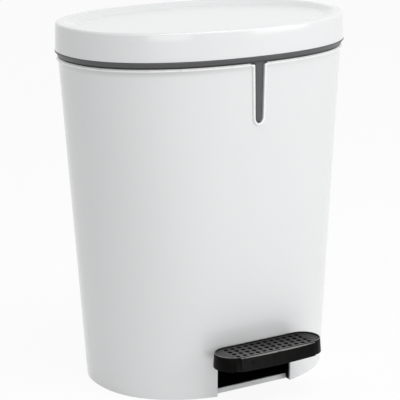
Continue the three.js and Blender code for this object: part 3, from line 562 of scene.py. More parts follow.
def make_moulded_surface():
    """Moulded plastic: a slow drift of colour, flow marks, fine grain, dust on what faces up, and scuffs,
    with painted light and painted shade mixed in from masks stored on the points.
    """
    group, source, sink = new_group(
        "Moulded Surface",
        [
            ("Colour", "NodeSocketColor", (0.8, 0.8, 0.8, 1)),
            ("Drift", "NodeSocketFloat", 0.02),
            ("Roughness", "NodeSocketFloat", 0.3),
            ("Roughness Drift", "NodeSocketFloat", 0.05),
            ("Grain Scale", "NodeSocketFloat", 900.0),
            ("Grain", "NodeSocketFloat", 0.1),
            ("Waviness", "NodeSocketFloat", 0.3),
            ("Dust", "NodeSocketFloat", 0.1),
            ("Dust Colour", "NodeSocketColor", (0.5, 0.48, 0.45, 1)),
            ("Scuffs", "NodeSocketFloat", 0.1),
            ("Painted Light Colour", "NodeSocketColor", (0.5, 0.5, 0.5, 1)),
        ],
        [("Colour", "NodeSocketColor"), ("Roughness", "NodeSocketFloat"), ("Height", "NodeSocketFloat")],
    )
    where = place(group, "ShaderNodeTexCoord")
    spot = where.outputs["Object"]
    given = source.outputs

    def noise(scale, detail=2.0, roughness=0.5, vector=spot):
        settings = {"Scale": scale, "Detail": detail, "Roughness": roughness, "Vector": vector}
        return place(group, "ShaderNodeTexNoise", settings).outputs["Fac"]

    def times(first, second, clamped=False):
        return maths(group, "MULTIPLY", first, second, clamped)

    def plus(first, second, clamped=False):
        return maths(group, "ADD", first, second, clamped)

    def swing(value):
        return maths(group, "SUBTRACT", value, 0.5)

    def stretched(**settings):
        return place(group, "ShaderNodeMapping", {"Vector": spot, **settings}).outputs["Vector"]

    slow = noise(9.0, 3.0)
    flow = noise(1.0, 4.0, 0.6, stretched(Scale=(14.0, 14.0, 2.2)))
    drift = plus(times(swing(slow), given["Drift"]), times(swing(flow), given["Drift"]))
    tint = {"Value": plus(1.0, drift), "Color": given["Colour"]}
    tinted = place(group, "ShaderNodeHueSaturation", tint).outputs["Color"]
    scratched = stretched(Scale=(60.0, 60.0, 420.0), Rotation=(0.3, 0.5, 0.2))
    scratches = ramp(group, noise(1.0, 6.0, 0.7, scratched), 0.62, 0.78)
    patches = ramp(group, noise(22.0, 3.0), 0.5, 0.72)
    scuffs = times(times(scratches, patches), given["Scuffs"])
    up = place(group, "ShaderNodeSeparateXYZ", {"Vector": where.outputs["Normal"]})
    facing_up = ramp(group, up.outputs["Z"], 0.35, 0.95)
    motes = ramp(group, noise(650.0, 4.0, 0.75), 0.56, 0.72)
    film = ramp(group, noise(40.0, 4.0), 0.35, 0.8)
    dust = times(facing_up, plus(times(motes, 0.65), times(film, 0.35)))
    dust = times(dust, given["Dust"], clamped=True)
    colour = blend_colour(group, dust, tinted, given["Dust Colour"])
    # Painted light: a mask stored on the points, broken up by noise, mixes the colour towards a lighter given
    # colour.
    painted_light = place(group, "ShaderNodeAttribute", attribute_name="painted_light").outputs["Fac"]
    painted_light = times(painted_light, ramp(group, noise(120.0, 3.0), 0.2, 0.5))
    colour = blend_colour(group, painted_light, colour, given["Painted Light Colour"])
    # Painted shade: a second mask stored on the points mixes the colour towards black.
    painted_shade = place(group, "ShaderNodeAttribute", attribute_name="painted_shade").outputs["Fac"]
    colour = blend_colour(group, painted_shade, colour, (0.001, 0.001, 0.001, 1))
    rough = plus(given["Roughness"], times(swing(slow), given["Roughness Drift"]))
    rough = plus(rough, times(scuffs, 0.5))
    rough = plus(rough, times(dust, 0.4), clamped=True)
    grain = times(noise(given["Grain Scale"], 2.0, 0.6), given["Grain"])
    waves = times(noise(16.0, 1.0), given["Waviness"])
    height = maths(group, "SUBTRACT", plus(grain, waves), times(scuffs, 0.15))
    for label, value in (("Colour", colour), ("Roughness", rough), ("Height", height)):
        group.links.new(value, sink.inputs[label])
    return group


def make_brushed_metal():
    """Drawn metal: fine lines along the piece, with a slow drift of brightness."""
    group, source, sink = new_group(
        "Drawn Metal",
        [
            ("Colour", "NodeSocketColor", (0.5, 0.5, 0.5, 1)),
            ("Roughness", "NodeSocketFloat", 0.3),
            ("Line Scale", "NodeSocketFloat", 1.0),
        ],
        [("Colour", "NodeSocketColor"), ("Roughness", "NodeSocketFloat"), ("Height", "NodeSocketFloat")],
    )
    spot = place(group, "ShaderNodeTexCoord").outputs["Object"]
    stretched = place(group, "ShaderNodeMapping", {"Vector": spot, "Scale": (900.0, 900.0, 14.0)})
    fine = {"Vector": stretched.outputs["Vector"], "Scale": source.outputs["Line Scale"], "Detail": 3.0}
    lines = place(group, "ShaderNodeTexNoise", fine).outputs["Fac"]
    spots = place(group, "ShaderNodeTexNoise", {"Vector": spot, "Scale": 60.0, "Detail": 4.0}).outputs["Fac"]
    tone = ramp(group, lines, 0.3, 0.7, 0.9, 1.08)
    tone = maths(group, "MULTIPLY", tone, ramp(group, spots, 0.3, 0.7, 0.92, 1.04))
    tinted = place(group, "ShaderNodeHueSaturation", {"Value": tone, "Color": source.outputs["Colour"]})
    rough = maths(group, "ADD", source.outputs["Roughness"], ramp(group, spots, 0.3, 0.7, -0.05, 0.08))
    for label, value in (("Colour", tinted.outputs["Color"]), ("Roughness", rough), ("Height", lines)):
        group.links.new(value, sink.inputs[label])
    return group


def make_finish(name, group, values, bump, relief, specular=0.5, metallic=0.0, coat=0.0, coat_roughness=0.1):
    material = bpy.data.materials.new(name)
    material.use_nodes = True
    tree = material.node_tree
    shader = tree.nodes["Principled BSDF"]
    effect = tree.nodes.new("ShaderNodeGroup")
    effect.node_tree = group
    for label, value in values.items():
        effect.inputs[label].default_value = value
    tree.links.new(effect.outputs["Colour"], shader.inputs["Base Color"])
    tree.links.new(effect.outputs["Roughness"], shader.inputs["Roughness"])
    shaping = {"Strength": bump, "Distance": relief, "Height": effect.outputs["Height"]}
    shape = place(tree, "ShaderNodeBump", shaping)
    tree.links.new(shape.outputs["Normal"], shader.inputs["Normal"])
    shader.inputs["Specular IOR Level"].default_value = specular
    shader.inputs["Metallic"].default_value = metallic
    shader.inputs["Coat Weight"].default_value = coat
    shader.inputs["Coat Roughness"].default_value = coat_roughness
    return material


def full(colour):
    return (*colour, 1)


FINISHES = {
    "white_gloss": "glossy white",
    "grey_satin": "satin grey",
    "black_satin": "satin black",
    "dark_rubber": "dark rubber mat",
    "grey_plastic": "pale grey plastic",
    "steel": "drawn steel",
}


def finish_for(slot):
    return bpy.data.materials[FINISHES[slot]]


class BIN_OT_finishes(bpy.types.Operator):
    """Make the finishes that the pieces share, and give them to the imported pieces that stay"""

    bl_idname = "bin.finishes"
    bl_label = "Make Finishes"

    def execute(self, context):
        look = context.scene.bin_finishes
        moulded, drawn = make_moulded_surface(), make_brushed_metal()
        make_finish(
            "glossy white",
            moulded,
            {
                "Colour": full(look.white),
                "Drift": 0.016,
                "Roughness": 0.16,
                "Roughness Drift": 0.05,
                "Grain Scale": 1500.0,
                "Grain": 0.02,
                "Waviness": 0.55,
                "Dust": 0.05,
                "Dust Colour": (0.45, 0.43, 0.4, 1),
                "Scuffs": look.wear * 0.4,
                # Colour of the painted highlight on the shell's bead and rim
                "Painted Light Colour": (0.97, 0.97, 0.97, 1),
            },
            bump=0.35,
            relief=0.0009,
            coat=0.4,
            coat_roughness=0.05,
        )
        make_finish(
            "satin grey",
            moulded,
            {
                "Colour": full(look.collar_grey),
                "Drift": 0.07,
                "Roughness": 0.36,
                "Roughness Drift": 0.08,
                "Grain Scale": 2200.0,
                "Grain": 0.5,
                "Waviness": 0.2,
                "Dust": 0.16,
                "Scuffs": look.wear,
            },
            bump=0.3,
            relief=0.0001,
            specular=0.3,
        )
        make_finish(
            "satin black",
            moulded,
            {
                "Colour": full(look.black),
                "Drift": 0.1,
                "Roughness": 0.34,
                "Roughness Drift": 0.1,
                "Grain Scale": 1700.0,
                "Grain": 0.6,
                "Waviness": 0.2,
                "Dust": 0.05,
                "Dust Colour": (0.08, 0.078, 0.073, 1),
                "Scuffs": look.wear,
                # Colour of the painted highlight on the pedal's rim and lip
                "Painted Light Colour": (0.27, 0.27, 0.265, 1),
            },
            bump=0.3,
            relief=0.0001,
            specular=0.05,
        )
        make_finish(
            "dark rubber mat",
            moulded,
            {
                "Colour": full(look.tread_grey),
                "Drift": 0.15,
                "Roughness": 0.62,
                "Roughness Drift": 0.12,
                "Grain Scale": 1300.0,
                "Grain": 1.0,
                "Waviness": 0.1,
                "Dust": 0.3,
                "Dust Colour": (0.2, 0.195, 0.185, 1),
                "Scuffs": look.wear,
                # Colour of the painted light on the tread
                "Painted Light Colour": (0.14, 0.14, 0.14, 1),
            },
            bump=0.5,
            relief=0.00012,
            specular=0.15,
        )
        make_finish(
            "pale grey plastic",
            moulded,
            {
                "Colour": full(look.bucket_grey),
                "Drift": 0.05,
                "Roughness": 0.42,
                "Roughness Drift": 0.1,
                "Grain Scale": 1500.0,
                "Grain": 0.7,
                "Waviness": 0.3,
                "Dust": 0.2,
                "Scuffs": look.wear,
            },
            bump=0.3,
            relief=0.0001,
        )
        make_finish(
            "drawn steel",
            drawn,
            {"Colour": full(look.steel), "Roughness": 0.3, "Line Scale": 1.0},
            bump=0.25,
            relief=0.00005,
            metallic=1.0,
        )
        for part in frame["record"]["subparts"]:
            for slot in frame["nodes"][part["node"]].material_slots:
                slot.material = finish_for(part["material_slot"])
        return {"FINISHED"}


# ---------------------------------------------------------------- pieces


class BIN_OT_shell(bpy.types.Operator):
    """Model the tapered oval shell with its bead, its doorway and the raised rim round the tongue's notch"""

    bl_idname = "bin.shell"
    bl_label = "Model Shell"

    def execute(self, context):
        sizes, tongue = context.scene.bin_shell, context.scene.bin_tongue
        bead_top = sizes.height + sizes.bead_rise
        bead_foot = bead_top - sizes.bead_height
        profile = rounded(
            [
                (0, sizes.height * 0.3, 0),
                (0, bead_foot - 12 * MM, 0),
                (0, bead_foot - 7 * MM, 0),
                (0.25 * MM, bead_foot - 4.2 * MM, 0),
                (0.75 * MM, bead_foot - 2.1 * MM, 0),
                (sizes.bead_proud - 0.5 * MM, bead_foot - 0.6 * MM, 0),
                (sizes.bead_proud - 0.15 * MM, bead_foot + 0.2 * MM, 0),
                (sizes.bead_proud, bead_foot + 0.9 * MM, 0.4 * MM),
                (-0.2 * MM, bead_top, 0.3 * MM),
                (-sizes.wall, sizes.height, 0.5 * MM),
                (-sizes.wall, 0, 0.4 * MM),
                (0, 0, 0.5 * MM),
                (0, sizes.height * 0.3, 0),
            ]
        )
        shell = turn_oval("Outer_Body", with_rings(profile, 14 * MM), shell_plan)
        margins = (-0.9, 0.0, 0.25, 0.7, 1.3, 1.9, 2.35, 2.6, 2.72, 2.8, 2.86)
        rises = (0.7, 0.78, 0.92, 1.0, 1.0, 0.95, 0.82, 0.6, 0.3, 0.0, -0.45)
        tip = sizes.height - tongue.reach
        profile = [(tongue.gap + margin * tongue.rim_width / 3, rise) for margin, rise in zip(margins, rises)]
        depth = -1.4 * MM
        rows = []
        for margin, rise in [(profile[0][0], None), *profile, (profile[-1][0], None), (profile[0][0], None)]:
            row = []
            for x, z in tongue_outline(margin):
                fade = 0.8 + 0.2 * max(0, (z - tip) / tongue.reach)
                outset = depth if rise is None else tongue.rim_proud * rise * fade
                row.append((x, front_wall(x, z, outset), z))
            rows.append(row)
        rim = lay_rows("Rim", rows)
        close_up(rim)
        carve(shell, rim, "UNION")
        front = MIDDLE - sizes.top_half_depth
        notch = lay_outline(
            "Notch",
            tongue_outline(tongue.gap, sizes.height + 2 * MM),
            (front - 5 * MM, front + 10 * MM),
        )
        carve(shell, notch)
        doorway = block(
            "Doorway",
            (-sizes.doorway_half_width, SHELL_LOW.y - 10 * MM, -5 * MM),
            (sizes.doorway_half_width, MIDDLE, sizes.doorway_height),
        )
        soften(doorway, 1.2 * MM, 3)
        carve(shell, doorway)

        # Painted highlight: the bead's top and the raised rim round the notch are lightened in colour.
        def painted_highlight_on_shell(spot):
            on_rim = spot.z > tip - 8 * MM and abs(spot.x) < tongue.top_width
            return float(spot.z > bead_foot or (on_rim and spot.y < front_wall(spot.x, spot.z, 1.2 * MM)))

        # Painted shade: the band under the bead is darkened, most on the left and fading out towards the
        # right.
        def painted_shade_under_bead(spot):
            drop = bead_foot - spot.z
            if drop < 0.1 * MM:
                return 0
            return 0.2 * clamp(0.2 - 1.3 * spot.x / SHELL_HIGH.x) * clamp(1 - (drop - 2.2 * MM) / (4.6 * MM))

        mark(shell, "painted_light", painted_highlight_on_shell)
        mark(shell, "painted_shade", painted_shade_under_bead)
        finish_piece(shell, "bin", "white_gloss", "outer_shell")
        return {"FINISHED"}


class BIN_OT_collar(bpy.types.Operator):
    """Model the grey collar with its tongue, its plate for the bucket and its hinge barrels"""

    bl_idname = "bin.collar"
    bl_label = "Model Collar"

    def execute(self, context):
        scene = context.scene
        sizes, tongue, shell, lid = scene.bin_collar, scene.bin_tongue, scene.bin_shell, scene.bin_lid
        foot = shell.height + sizes.seat_gap
        top = foot + sizes.height
        inset = -lid.overhang
        lip_foot = top - sizes.lip_height
        spigot_out = inset - shell.wall - sizes.seat_gap
        spigot_foot = foot - sizes.spigot_depth
        face_foot = (inset + 0.6 * MM, foot + 2 * MM)
        face_top = (-1 * MM, lip_foot - 0.6 * MM)
        part_way = 1.3 * MM / (face_top[1] - face_foot[1])
        profile = rounded(
            [
                (-30 * MM, top, 0),
                (sizes.lip, top, 0.45 * MM),
                (sizes.lip, lip_foot, 0.3 * MM),
                (*face_top, 0.5 * MM),
                (*(low + part_way * (high - low) for low, high in zip(face_foot, face_top)), 0),
                (*face_foot, 0.4 * MM),
                (inset + 0.2 * MM, foot + 1.4 * MM, 0.2 * MM),
                (inset - 1.6 * MM, foot + 1.2 * MM, 0.2 * MM),
                (spigot_out, foot, 0.2 * MM),
                (spigot_out - 0.8 * MM, spigot_foot, 0.4 * MM),
                (spigot_out - 0.8 * MM - sizes.spigot_wall, spigot_foot, 0.4 * MM),
                (spigot_out - sizes.spigot_wall, top - sizes.plate, 0.3 * MM),
                (-30 * MM, top - sizes.plate, 0),
            ],
            3,
        )
        collar = turn_oval("Collar", profile, lid_plan, closed=False)
        half = tongue.top_width / 2
        tongue_piece = make_tongue(
            foot + sizes.height * 0.5,
            (
                (0, -tongue.thickness),
                (0, -1.5 * MM),
                (-0.15 * MM, -1.0 * MM),
                (-0.5 * MM, -0.55 * MM),
                (-1.1 * MM, -0.22 * MM),
                (-2.0 * MM, -0.04 * MM),
                (-0.6 * half, 0.04 * MM),
            ),
        )
        carve(collar, tongue_piece, "UNION")
        close_up(collar)
        mouth_width = BUCKET_HIGH.x - scene.bin_bucket.rim_width + 1 * MM
        mouth_depth = (BUCKET_HIGH.y - BUCKET_LOW.y) / 2 - scene.bin_bucket.rim_width + 1 * MM
        mouth = turn_oval(
            "Mouth",
            [(0, spigot_foot - 5 * MM), (0, top + 5 * MM)],
            lambda _z: (mouth_width, mouth_depth),
            BUCKET_MIDDLE,
            closed=False,
        )
        carve(collar, mouth)
        slot_back = MIDDLE + shell.top_half_depth - shell.wall - sizes.seat_gap
        slot = block(
            "Slot",
            (-CRANK_SLOT_LEFT, PIN_Y - CRANK_SLOT_FRONT, spigot_foot - 5 * MM),
            (CRANK_SLOT_RIGHT, slot_back, top + 5 * MM),
        )
        carve(collar, slot)
        web_front = MIDDLE + shell.top_half_depth - shell.wall
        for side in (-1, 1):
            ends = sorted((side * sizes.knuckle_start, side * (sizes.knuckle_start + sizes.knuckle_length)))
            barrel = bar("Barrel", (ends[0], PIN_Y, PIN_Z), (ends[1], PIN_Y, PIN_Z), sizes.barrel_radius)
            web = block("Web", (ends[0], web_front, PIN_Z - sizes.barrel_radius), (ends[1], PIN_Y, PIN_Z))
            carve(barrel, web, "UNION")
            carve(collar, barrel, "UNION")
        reach = sizes.knuckle_start + sizes.knuckle_length + 5 * MM
        carve(collar, bar("Bore", (-reach, PIN_Y, PIN_Z), (reach, PIN_Y, PIN_Z), sizes.bore_radius))

        # Painted shade: a dark line along the band's foot, and near-black on the tongue where it lies behind
        # the shell's front wall.
        def edge_shade(spot):
            if foot + 1.2 * MM < spot.z < foot + 2.6 * MM and spot.y < front_wall(spot.x, spot.z, -3 * MM):
                return 0.6
            behind = spot.y > front_wall(0, spot.z, -0.4 * MM)
            return 0.95 if behind and spot.z < foot and abs(spot.x) < tongue.top_width else 0

        mark(collar, "painted_shade", edge_shade)
        finish_piece(collar, "bin", "grey_satin", "rim_collar")
        return {"FINISHED"}


def make_tongue(top, profile):
    """The tongue as a solid: its outline moved in and out through a profile, closed along its middle."""
    shell, tongue = bpy.context.scene.bin_shell, bpy.context.scene.bin_tongue
    tip_start = shell.height - tongue.reach + tongue.tip_width * 0.66
    rows = []
    for margin, rise in profile:
        rows.append([(x, front_wall(0, z, rise), z) for x, z in tongue_outline(margin, top)])
    for number, row in ((0, rows[0]), (len(rows), rows[-1])):
        rise = profile[0][1] if number == 0 else profile[-1][1]
        middle = [(0, front_wall(0, max(z, tip_start), rise), max(z, tip_start)) for _x, _y, z in row]
        rows.insert(number if number == 0 else len(rows), middle)
    piece = lay_rows("Tongue", rows)
    close_up(piece)
    return piece


class BIN_OT_lid(bpy.types.Operator):
    """Model the dished lid with its skirt, its hinge knuckle and the bosses for the crank"""

    bl_idname = "bin.lid"
    bl_label = "Model Lid"

    def execute(self, context):
        scene = context.scene
        sizes, collar = scene.bin_lid, scene.bin_collar
        foot = scene.bin_shell.height + collar.height + 2 * collar.seat_gap
        top = LID_TOP
        skirt_top = -sizes.draft
        slope_foot = -sizes.rim_width - sizes.dish_slope
        dish, ceiling = top - sizes.dish_depth, top - sizes.dish_depth - sizes.wall
        profile = rounded(
            [
                (slope_foot - 12 * MM, dish, 0),
                (slope_foot, dish, 9 * MM),
                (-sizes.rim_width, top, 7 * MM),
                (skirt_top, top, sizes.edge_radius),
                (0, foot, 0.25 * MM),
                (-sizes.wall, foot, 0.5 * MM),
                (skirt_top - sizes.wall, top - sizes.wall, 2 * MM),
                (-sizes.rim_width, top - sizes.wall, 5 * MM),
                (slope_foot, ceiling, 6 * MM),
                (slope_foot - 12 * MM, ceiling, 0),
            ],
            7,
        )
        lid = turn_oval("Lid", with_rings(profile, 9 * MM), lid_plan, closed=False)
        half = collar.knuckle_start - collar.seat_gap
        knuckle = bar("Knuckle", (-half, PIN_Y, PIN_Z), (half, PIN_Y, PIN_Z), collar.barrel_radius)
        web_front = MIDDLE + lid_plan(0)[1] - sizes.wall
        web = block("Web", (-half, web_front, foot), (half, PIN_Y, foot + collar.barrel_radius))
        carve(knuckle, web, "UNION")
        carve(lid, knuckle, "UNION")
        carve(lid, bar("Bore", (-half * 1.2, PIN_Y, PIN_Z), (half * 1.2, PIN_Y, PIN_Z), collar.bore_radius))
        for side in (-1, 1):
            x, y = sizes.boss_middle + side * sizes.boss_spread, PIN_Y - sizes.boss_setback
            boss = bar("Boss", (x, y, ceiling - 5 * MM), (x, y, ceiling + sizes.wall / 2), sizes.boss_radius)
            carve(lid, boss, "UNION")
            carve(lid, bar("Pilot", (x, y, ceiling - 6 * MM), (x, y, ceiling), sizes.pilot_radius))
        finish_piece(lid, "lid", "white_gloss", "lid_shell")
        return {"FINISHED"}


class BIN_OT_pedal(bpy.types.Operator):
    """Model the pedal's skirt and rim, and the perforated tread that lies in it"""

    bl_idname = "bin.pedal"
    bl_label = "Model Pedal and Tread"

    def execute(self, context):
        sizes = context.scene.bin_pedal
        tray_front = PEDAL_LOW.y + sizes.lip_proud
        middle = (tray_front + PEDAL_HIGH.y) / 2
        half_length, half_width = PEDAL_HIGH.x, (PEDAL_HIGH.y - tray_front) / 2
        foot, top = PEDAL_LOW.z, PEDAL_HIGH.z
        lip_top = top - sizes.lip_drop
        web_top = top - sizes.recess
        web_foot = web_top - sizes.web

        def inset_pill(inset, low, high):
            return pill("Pill", half_length - inset, half_width - inset, low, high, middle)

        skirt = inset_pill(0, foot, top)
        skirt.name = "Pedal"
        straight = half_length - half_width
        for point in skirt.data.vertices:
            core = Vector((min(max(point.co.x, -straight), straight), middle, point.co.z))
            point.co += (core - point.co).normalized() * sizes.draft * (point.co.z - foot) / (top - foot)

        def lip(inset, low, high, lean):
            rows = []
            for z, moved in ((low, 0), (high, lean)):
                shares = [1 - step / 12 for step in range(25)]
                side, front = sizes.lip_half_width - inset, PEDAL_LOW.y + inset + moved
                row = [(side * share, front + sizes.lip_bow * share**2, z) for share in shares]
                rows.append([(side, middle, z), *row, (-side, middle, z), (side, middle, z)])
            piece = lay_rows("Lip", rows)
            close_up(piece)
            return piece

        carve(skirt, lip(0, foot, lip_top, sizes.draft * 0.4), "UNION")
        carve(skirt, inset_pill(sizes.wall, foot - 5 * MM, web_foot))
        carve(skirt, lip(sizes.wall, foot - 5 * MM, web_foot, 0))
        carve(skirt, inset_pill(sizes.rim_wall, web_top, top + 5 * MM))
        soften(skirt, 0.45 * MM, 2, radians(60))
        notch = block(
            "Notch",
            (-sizes.notch_half_width, middle, foot - 5 * MM),
            (sizes.notch_half_width, PEDAL_HIGH.y, foot + sizes.notch_height),
        )
        carve(skirt, notch)

        # Painted highlight along the pedal's rim top and the lip's front edge, and painted light on the lip's
        # front face that fades out to the right.
        def painted_light_on_pedal(spot):
            lip_front = PEDAL_LOW.y + sizes.lip_bow * (spot.x / sizes.lip_half_width) ** 2
            on_lip = abs(spot.z - lip_top) < 0.3 * MM and abs(spot.x) < sizes.lip_half_width + 0.1 * MM
            if spot.z > top - 0.3 * MM or (on_lip and spot.y < lip_front + 1.2 * MM):
                return 1.0
            if spot.y < tray_front + 1 * MM:
                return 0.12 if on_lip else 0.02 * (1 - spot.x / sizes.lip_half_width)
            return 0.0

        mark(skirt, "painted_light", painted_light_on_pedal)
        finish_piece(skirt, "pedal", "black_satin", "pedal_shell")

        tread_half_length = TREAD_HIGH.x
        tread_half_width = (TREAD_HIGH.y - TREAD_LOW.y) / 2
        tread = pill("Tread", tread_half_length, tread_half_width, TREAD_LOW.z, TREAD_HIGH.z, middle)
        across, along = sizes.hole_column_pitch, sizes.hole_row_pitch
        half_row, half_column = (sizes.hole_columns - 1) / 2 * across, (sizes.hole_rows - 1) / 2 * along
        first = Vector((-half_row, middle - half_column, 0))
        deselect()
        bpy.ops.mesh.primitive_cylinder_add(vertices=28, radius=sizes.hole_radius, depth=10 * MM)
        holes = bpy.context.object
        holes.scale = (1, sizes.hole_stretch, 1)
        holes.location = first + Vector((0, 0, (TREAD_LOW.z + TREAD_HIGH.z) / 2))
        place_in_mesh(holes)
        for copies, step in ((sizes.hole_columns, (across, 0, 0)), (sizes.hole_rows, (0, along, 0))):
            repeat = holes.modifiers.new("Repeat", "ARRAY")
            repeat.count = copies
            repeat.use_relative_offset = False
            repeat.use_constant_offset = True
            repeat.constant_offset_displace = step
            bpy.ops.object.modifier_apply(modifier=repeat.name)
        carve(tread, holes)
        soften(tread, 0.25 * MM, 2, radians(60))
        # Painted shade: everything below the tread's top face, the holes' walls among it, is darkened to near
        # black.
        mark(tread, "painted_shade", lambda spot: float(spot.z < TREAD_HIGH.z - 0.2 * MM))

        # Painted light: the tread is lightened towards its front and its left.
        def painted_light_on_tread(spot):
            return clamp(0.35 + 0.55 * (middle - spot.y) / half_width - 0.3 * spot.x / half_length)

        mark(tread, "painted_light", painted_light_on_tread)
        finish_piece(tread, "pedal", "dark_rubber", "pedal_tread")
        return {"FINISHED"}


class BIN_OT_bucket(bpy.types.Operator):
    """Model the inner bucket, its wire bail and the grip on it"""

    bl_idname = "bin.bucket"
    bl_label = "Model Bucket"

    def execute(self, context):
        sizes = context.scene.bin_bucket
        middle = BUCKET_MIDDLE
        floor = BUCKET_LOW.z
        rim_top = sizes.rim_height + sizes.rim_thickness
        top_width = BUCKET_HIGH.x - sizes.rim_width
        top_depth = (BUCKET_HIGH.y - BUCKET_LOW.y) / 2 - sizes.rim_width

        def plan(z):
            share = max(0, (z - floor) / (sizes.rim_height - floor))
            half_width = sizes.foot_half_width + (top_width - sizes.foot_half_width) * share
            return half_width, top_depth - sizes.taper * (1 - share)

        wall = sizes.wall
        profile = rounded(
            [
                (-40 * MM, floor, 0),
                (-9 * MM, floor, 0),
                (-8 * MM, floor + 0.8 * MM, 0),
                (-0.1 * MM, floor + 0.8 * MM, 5 * MM),
                (0, sizes.rim_height, 0.4 * MM),
                (sizes.rim_width - 1 * MM, sizes.rim_height, 0.5 * MM),
                (sizes.rim_width, rim_top, 0.9 * MM),
                (-wall, rim_top, 1.2 * MM),
                (-wall, floor + wall + 0.8 * MM, 5 * MM),
                (-40 * MM, floor + wall + 0.8 * MM, 0),
            ],
            5,
        )
        bucket = turn_oval("Bucket", with_rings(profile, 15 * MM), plan, middle, closed=False)
        ear_inner = top_width - wall
        bail_height = (BAIL_LOW.z + BAIL_HIGH.z) / 2
        for side in (-1, 1):
            ends = sorted((side * ear_inner, side * (ear_inner + sizes.ear_thickness)))
            ear = block(
                "Ear",
                (ends[0], middle - 6 * MM, sizes.rim_height + 1 * MM),
                (ends[1], middle + 6 * MM, bail_height - 0.5 * MM),
            )
            start, end = ((x, middle, bail_height - 1.8 * MM) for x in ends)
            crown = bar("Crown", start, end, 6 * MM)
            carve(ear, crown, "UNION")
            soften(ear, 0.5 * MM, 2, radians(50))
            carve(bucket, ear, "UNION")
        reach = BAIL_HIGH.x + 5 * MM
        hole_radius = sizes.bail_radius + 0.2 * MM
        hole = bar("Hole", (-reach, middle, bail_height), (reach, middle, bail_height), hole_radius)
        carve(bucket, hole)
        finish_piece(bucket, "bucket", "grey_plastic", "inner_bucket")

        half_width = ear_inner - sizes.bail_inset
        power = context.scene.bin_shell.plan_power
        # The wire's turn from the ear into its bow: how far outside the bow, and how far along Y
        bend = ((4 * MM, 0), (2.2 * MM, -0.25 * MM), (0.7 * MM, -1.4 * MM))
        path = [(-BAIL_HIGH.x, 0), *((-half_width - outside, y) for outside, y in bend)]
        turns = [pi + step / 128 * pi for step in range(3, 126)]
        bow = [oval_point(turn, half_width, sizes.bail_reach, power) for turn in turns]
        path += bow + [(-x, y) for x, y in reversed(path)]
        route = [(x, middle + y, bail_height) for x, y in path]
        wire = lay_tube("Bail", route, lambda _share: sizes.bail_radius, 16)
        finish_piece(wire, "bail", "steel", "bucket_bail")

        arc = []
        for step in range(97):
            angle = 1.5 * pi + (step / 96 - 0.5) * 2 * sizes.grip_share * pi
            x, y = oval_point(angle, half_width, sizes.bail_reach, power)
            arc.append((x, middle + y, bail_height))

        def grip_radius(share):
            end = min(share, 1 - share) * 60
            round_end = min(1, 0.72 + 0.28 * end**0.5) if end < 1 else 1
            finger = 0.5 + 0.5 * cos(share * 8 * pi)
            return (sizes.grip_radius - 0.55 * MM * finger) * round_end

        grip = lay_tube("Grip", arc, grip_radius, 24)
        finish_piece(grip, "bail", "black_satin", "bail_grip")
        return {"FINISHED"}


def lay_tube(name, path, radius, sides):
    """A level tube along a path; radius gives its radius from the share of the path."""
    rows = []
    up = Vector((0, 0, 1))
    for number, here in enumerate(path):
        last, after = Vector(path[max(number - 1, 0)]), Vector(path[min(number + 1, len(path) - 1)])
        along = (after - last).normalized()
        across = along.cross(up)
        size = radius(number / (len(path) - 1))
        turns = [2 * pi * step / sides for step in range(sides + 1)]
        rows.append([Vector(here) + (across * cos(turn) + up * sin(turn)) * size for turn in turns])
    tube = lay_rows(name, rows)
    close_up(tube)
    return tube


class BIN_OT_works(bpy.types.Operator):
    """Dress the base, the housing and the mechanism: merged copies of their solids with rounded edges"""

    bl_idname = "bin.works"
    bl_label = "Dress Base and Mechanism"

    def execute(self, context):
        slots = {part["node"]: part["material_slot"] for part in frame["record"]["subparts"]}
        for node, (name, body, width) in WORKS.items():
            piece = self.merged_copy(node, name)
            soften(piece, width, 2, radians(38))
            finish_piece(piece, body, slots[node], node)
        shell = context.scene.bin_shell
        half_width = shell.doorway_half_width - PAN_GAP
        pan = block(
            "Housing_Floor",
            (-half_width, MIDDLE - PAN_SETBACK, PAN_FOOT),
            (half_width, HOUSING_BACK, PAN_TOP),
        )
        soften(pan, 0.3 * MM, 2)
        finish_piece(pan, "bin", "black_satin")
        return {"FINISHED"}

    def merged_copy(self, node, name):
        source = frame["nodes"][node]
        piece = bpy.data.objects.new(name, source.data.copy())
        bpy.context.scene.collection.objects.link(piece)
        take(piece)
        bpy.ops.object.mode_set(mode="EDIT")
        bpy.ops.mesh.select_all(action="SELECT")
        bpy.ops.mesh.remove_doubles(threshold=2e-6)
        bpy.ops.mesh.dissolve_limited(angle_limit=radians(0.8))
        bpy.ops.object.mode_set(mode="OBJECT")
        return piece


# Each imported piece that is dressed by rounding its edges: its name here, its body and the rounding
WORKS = {
    "base_plate": ("Base", "bin", 0.35 * MM),
    "pedal_housing": ("Housing", "bin", 0.35 * MM),
    "pedal_lever": ("Lever", "pedal", 0.5 * MM),
    "lid_crank": ("Crank", "lid", 0.35 * MM),
    "push_rod": ("Push_Rod", "push_rod", 0.2 * MM),
    "push_rod_foot": ("Rod_Foot", "push_rod", 0.3 * MM),
    "rod_guide_lower": ("Lower_Guide", "bin", 0.4 * MM),
    "rod_guide_upper": ("Upper_Guide", "bin", 0.4 * MM),
    "lid_hinge_pin": ("Hinge_Pin", "bin", 0.3 * MM),
    "pedal_axle": ("Axle", "bin", 0.3 * MM),
    "axle_clip_left": ("Left_Clip", "bin", 0.2 * MM),
    "axle_clip_right": ("Right_Clip", "bin", 0.2 * MM),
}


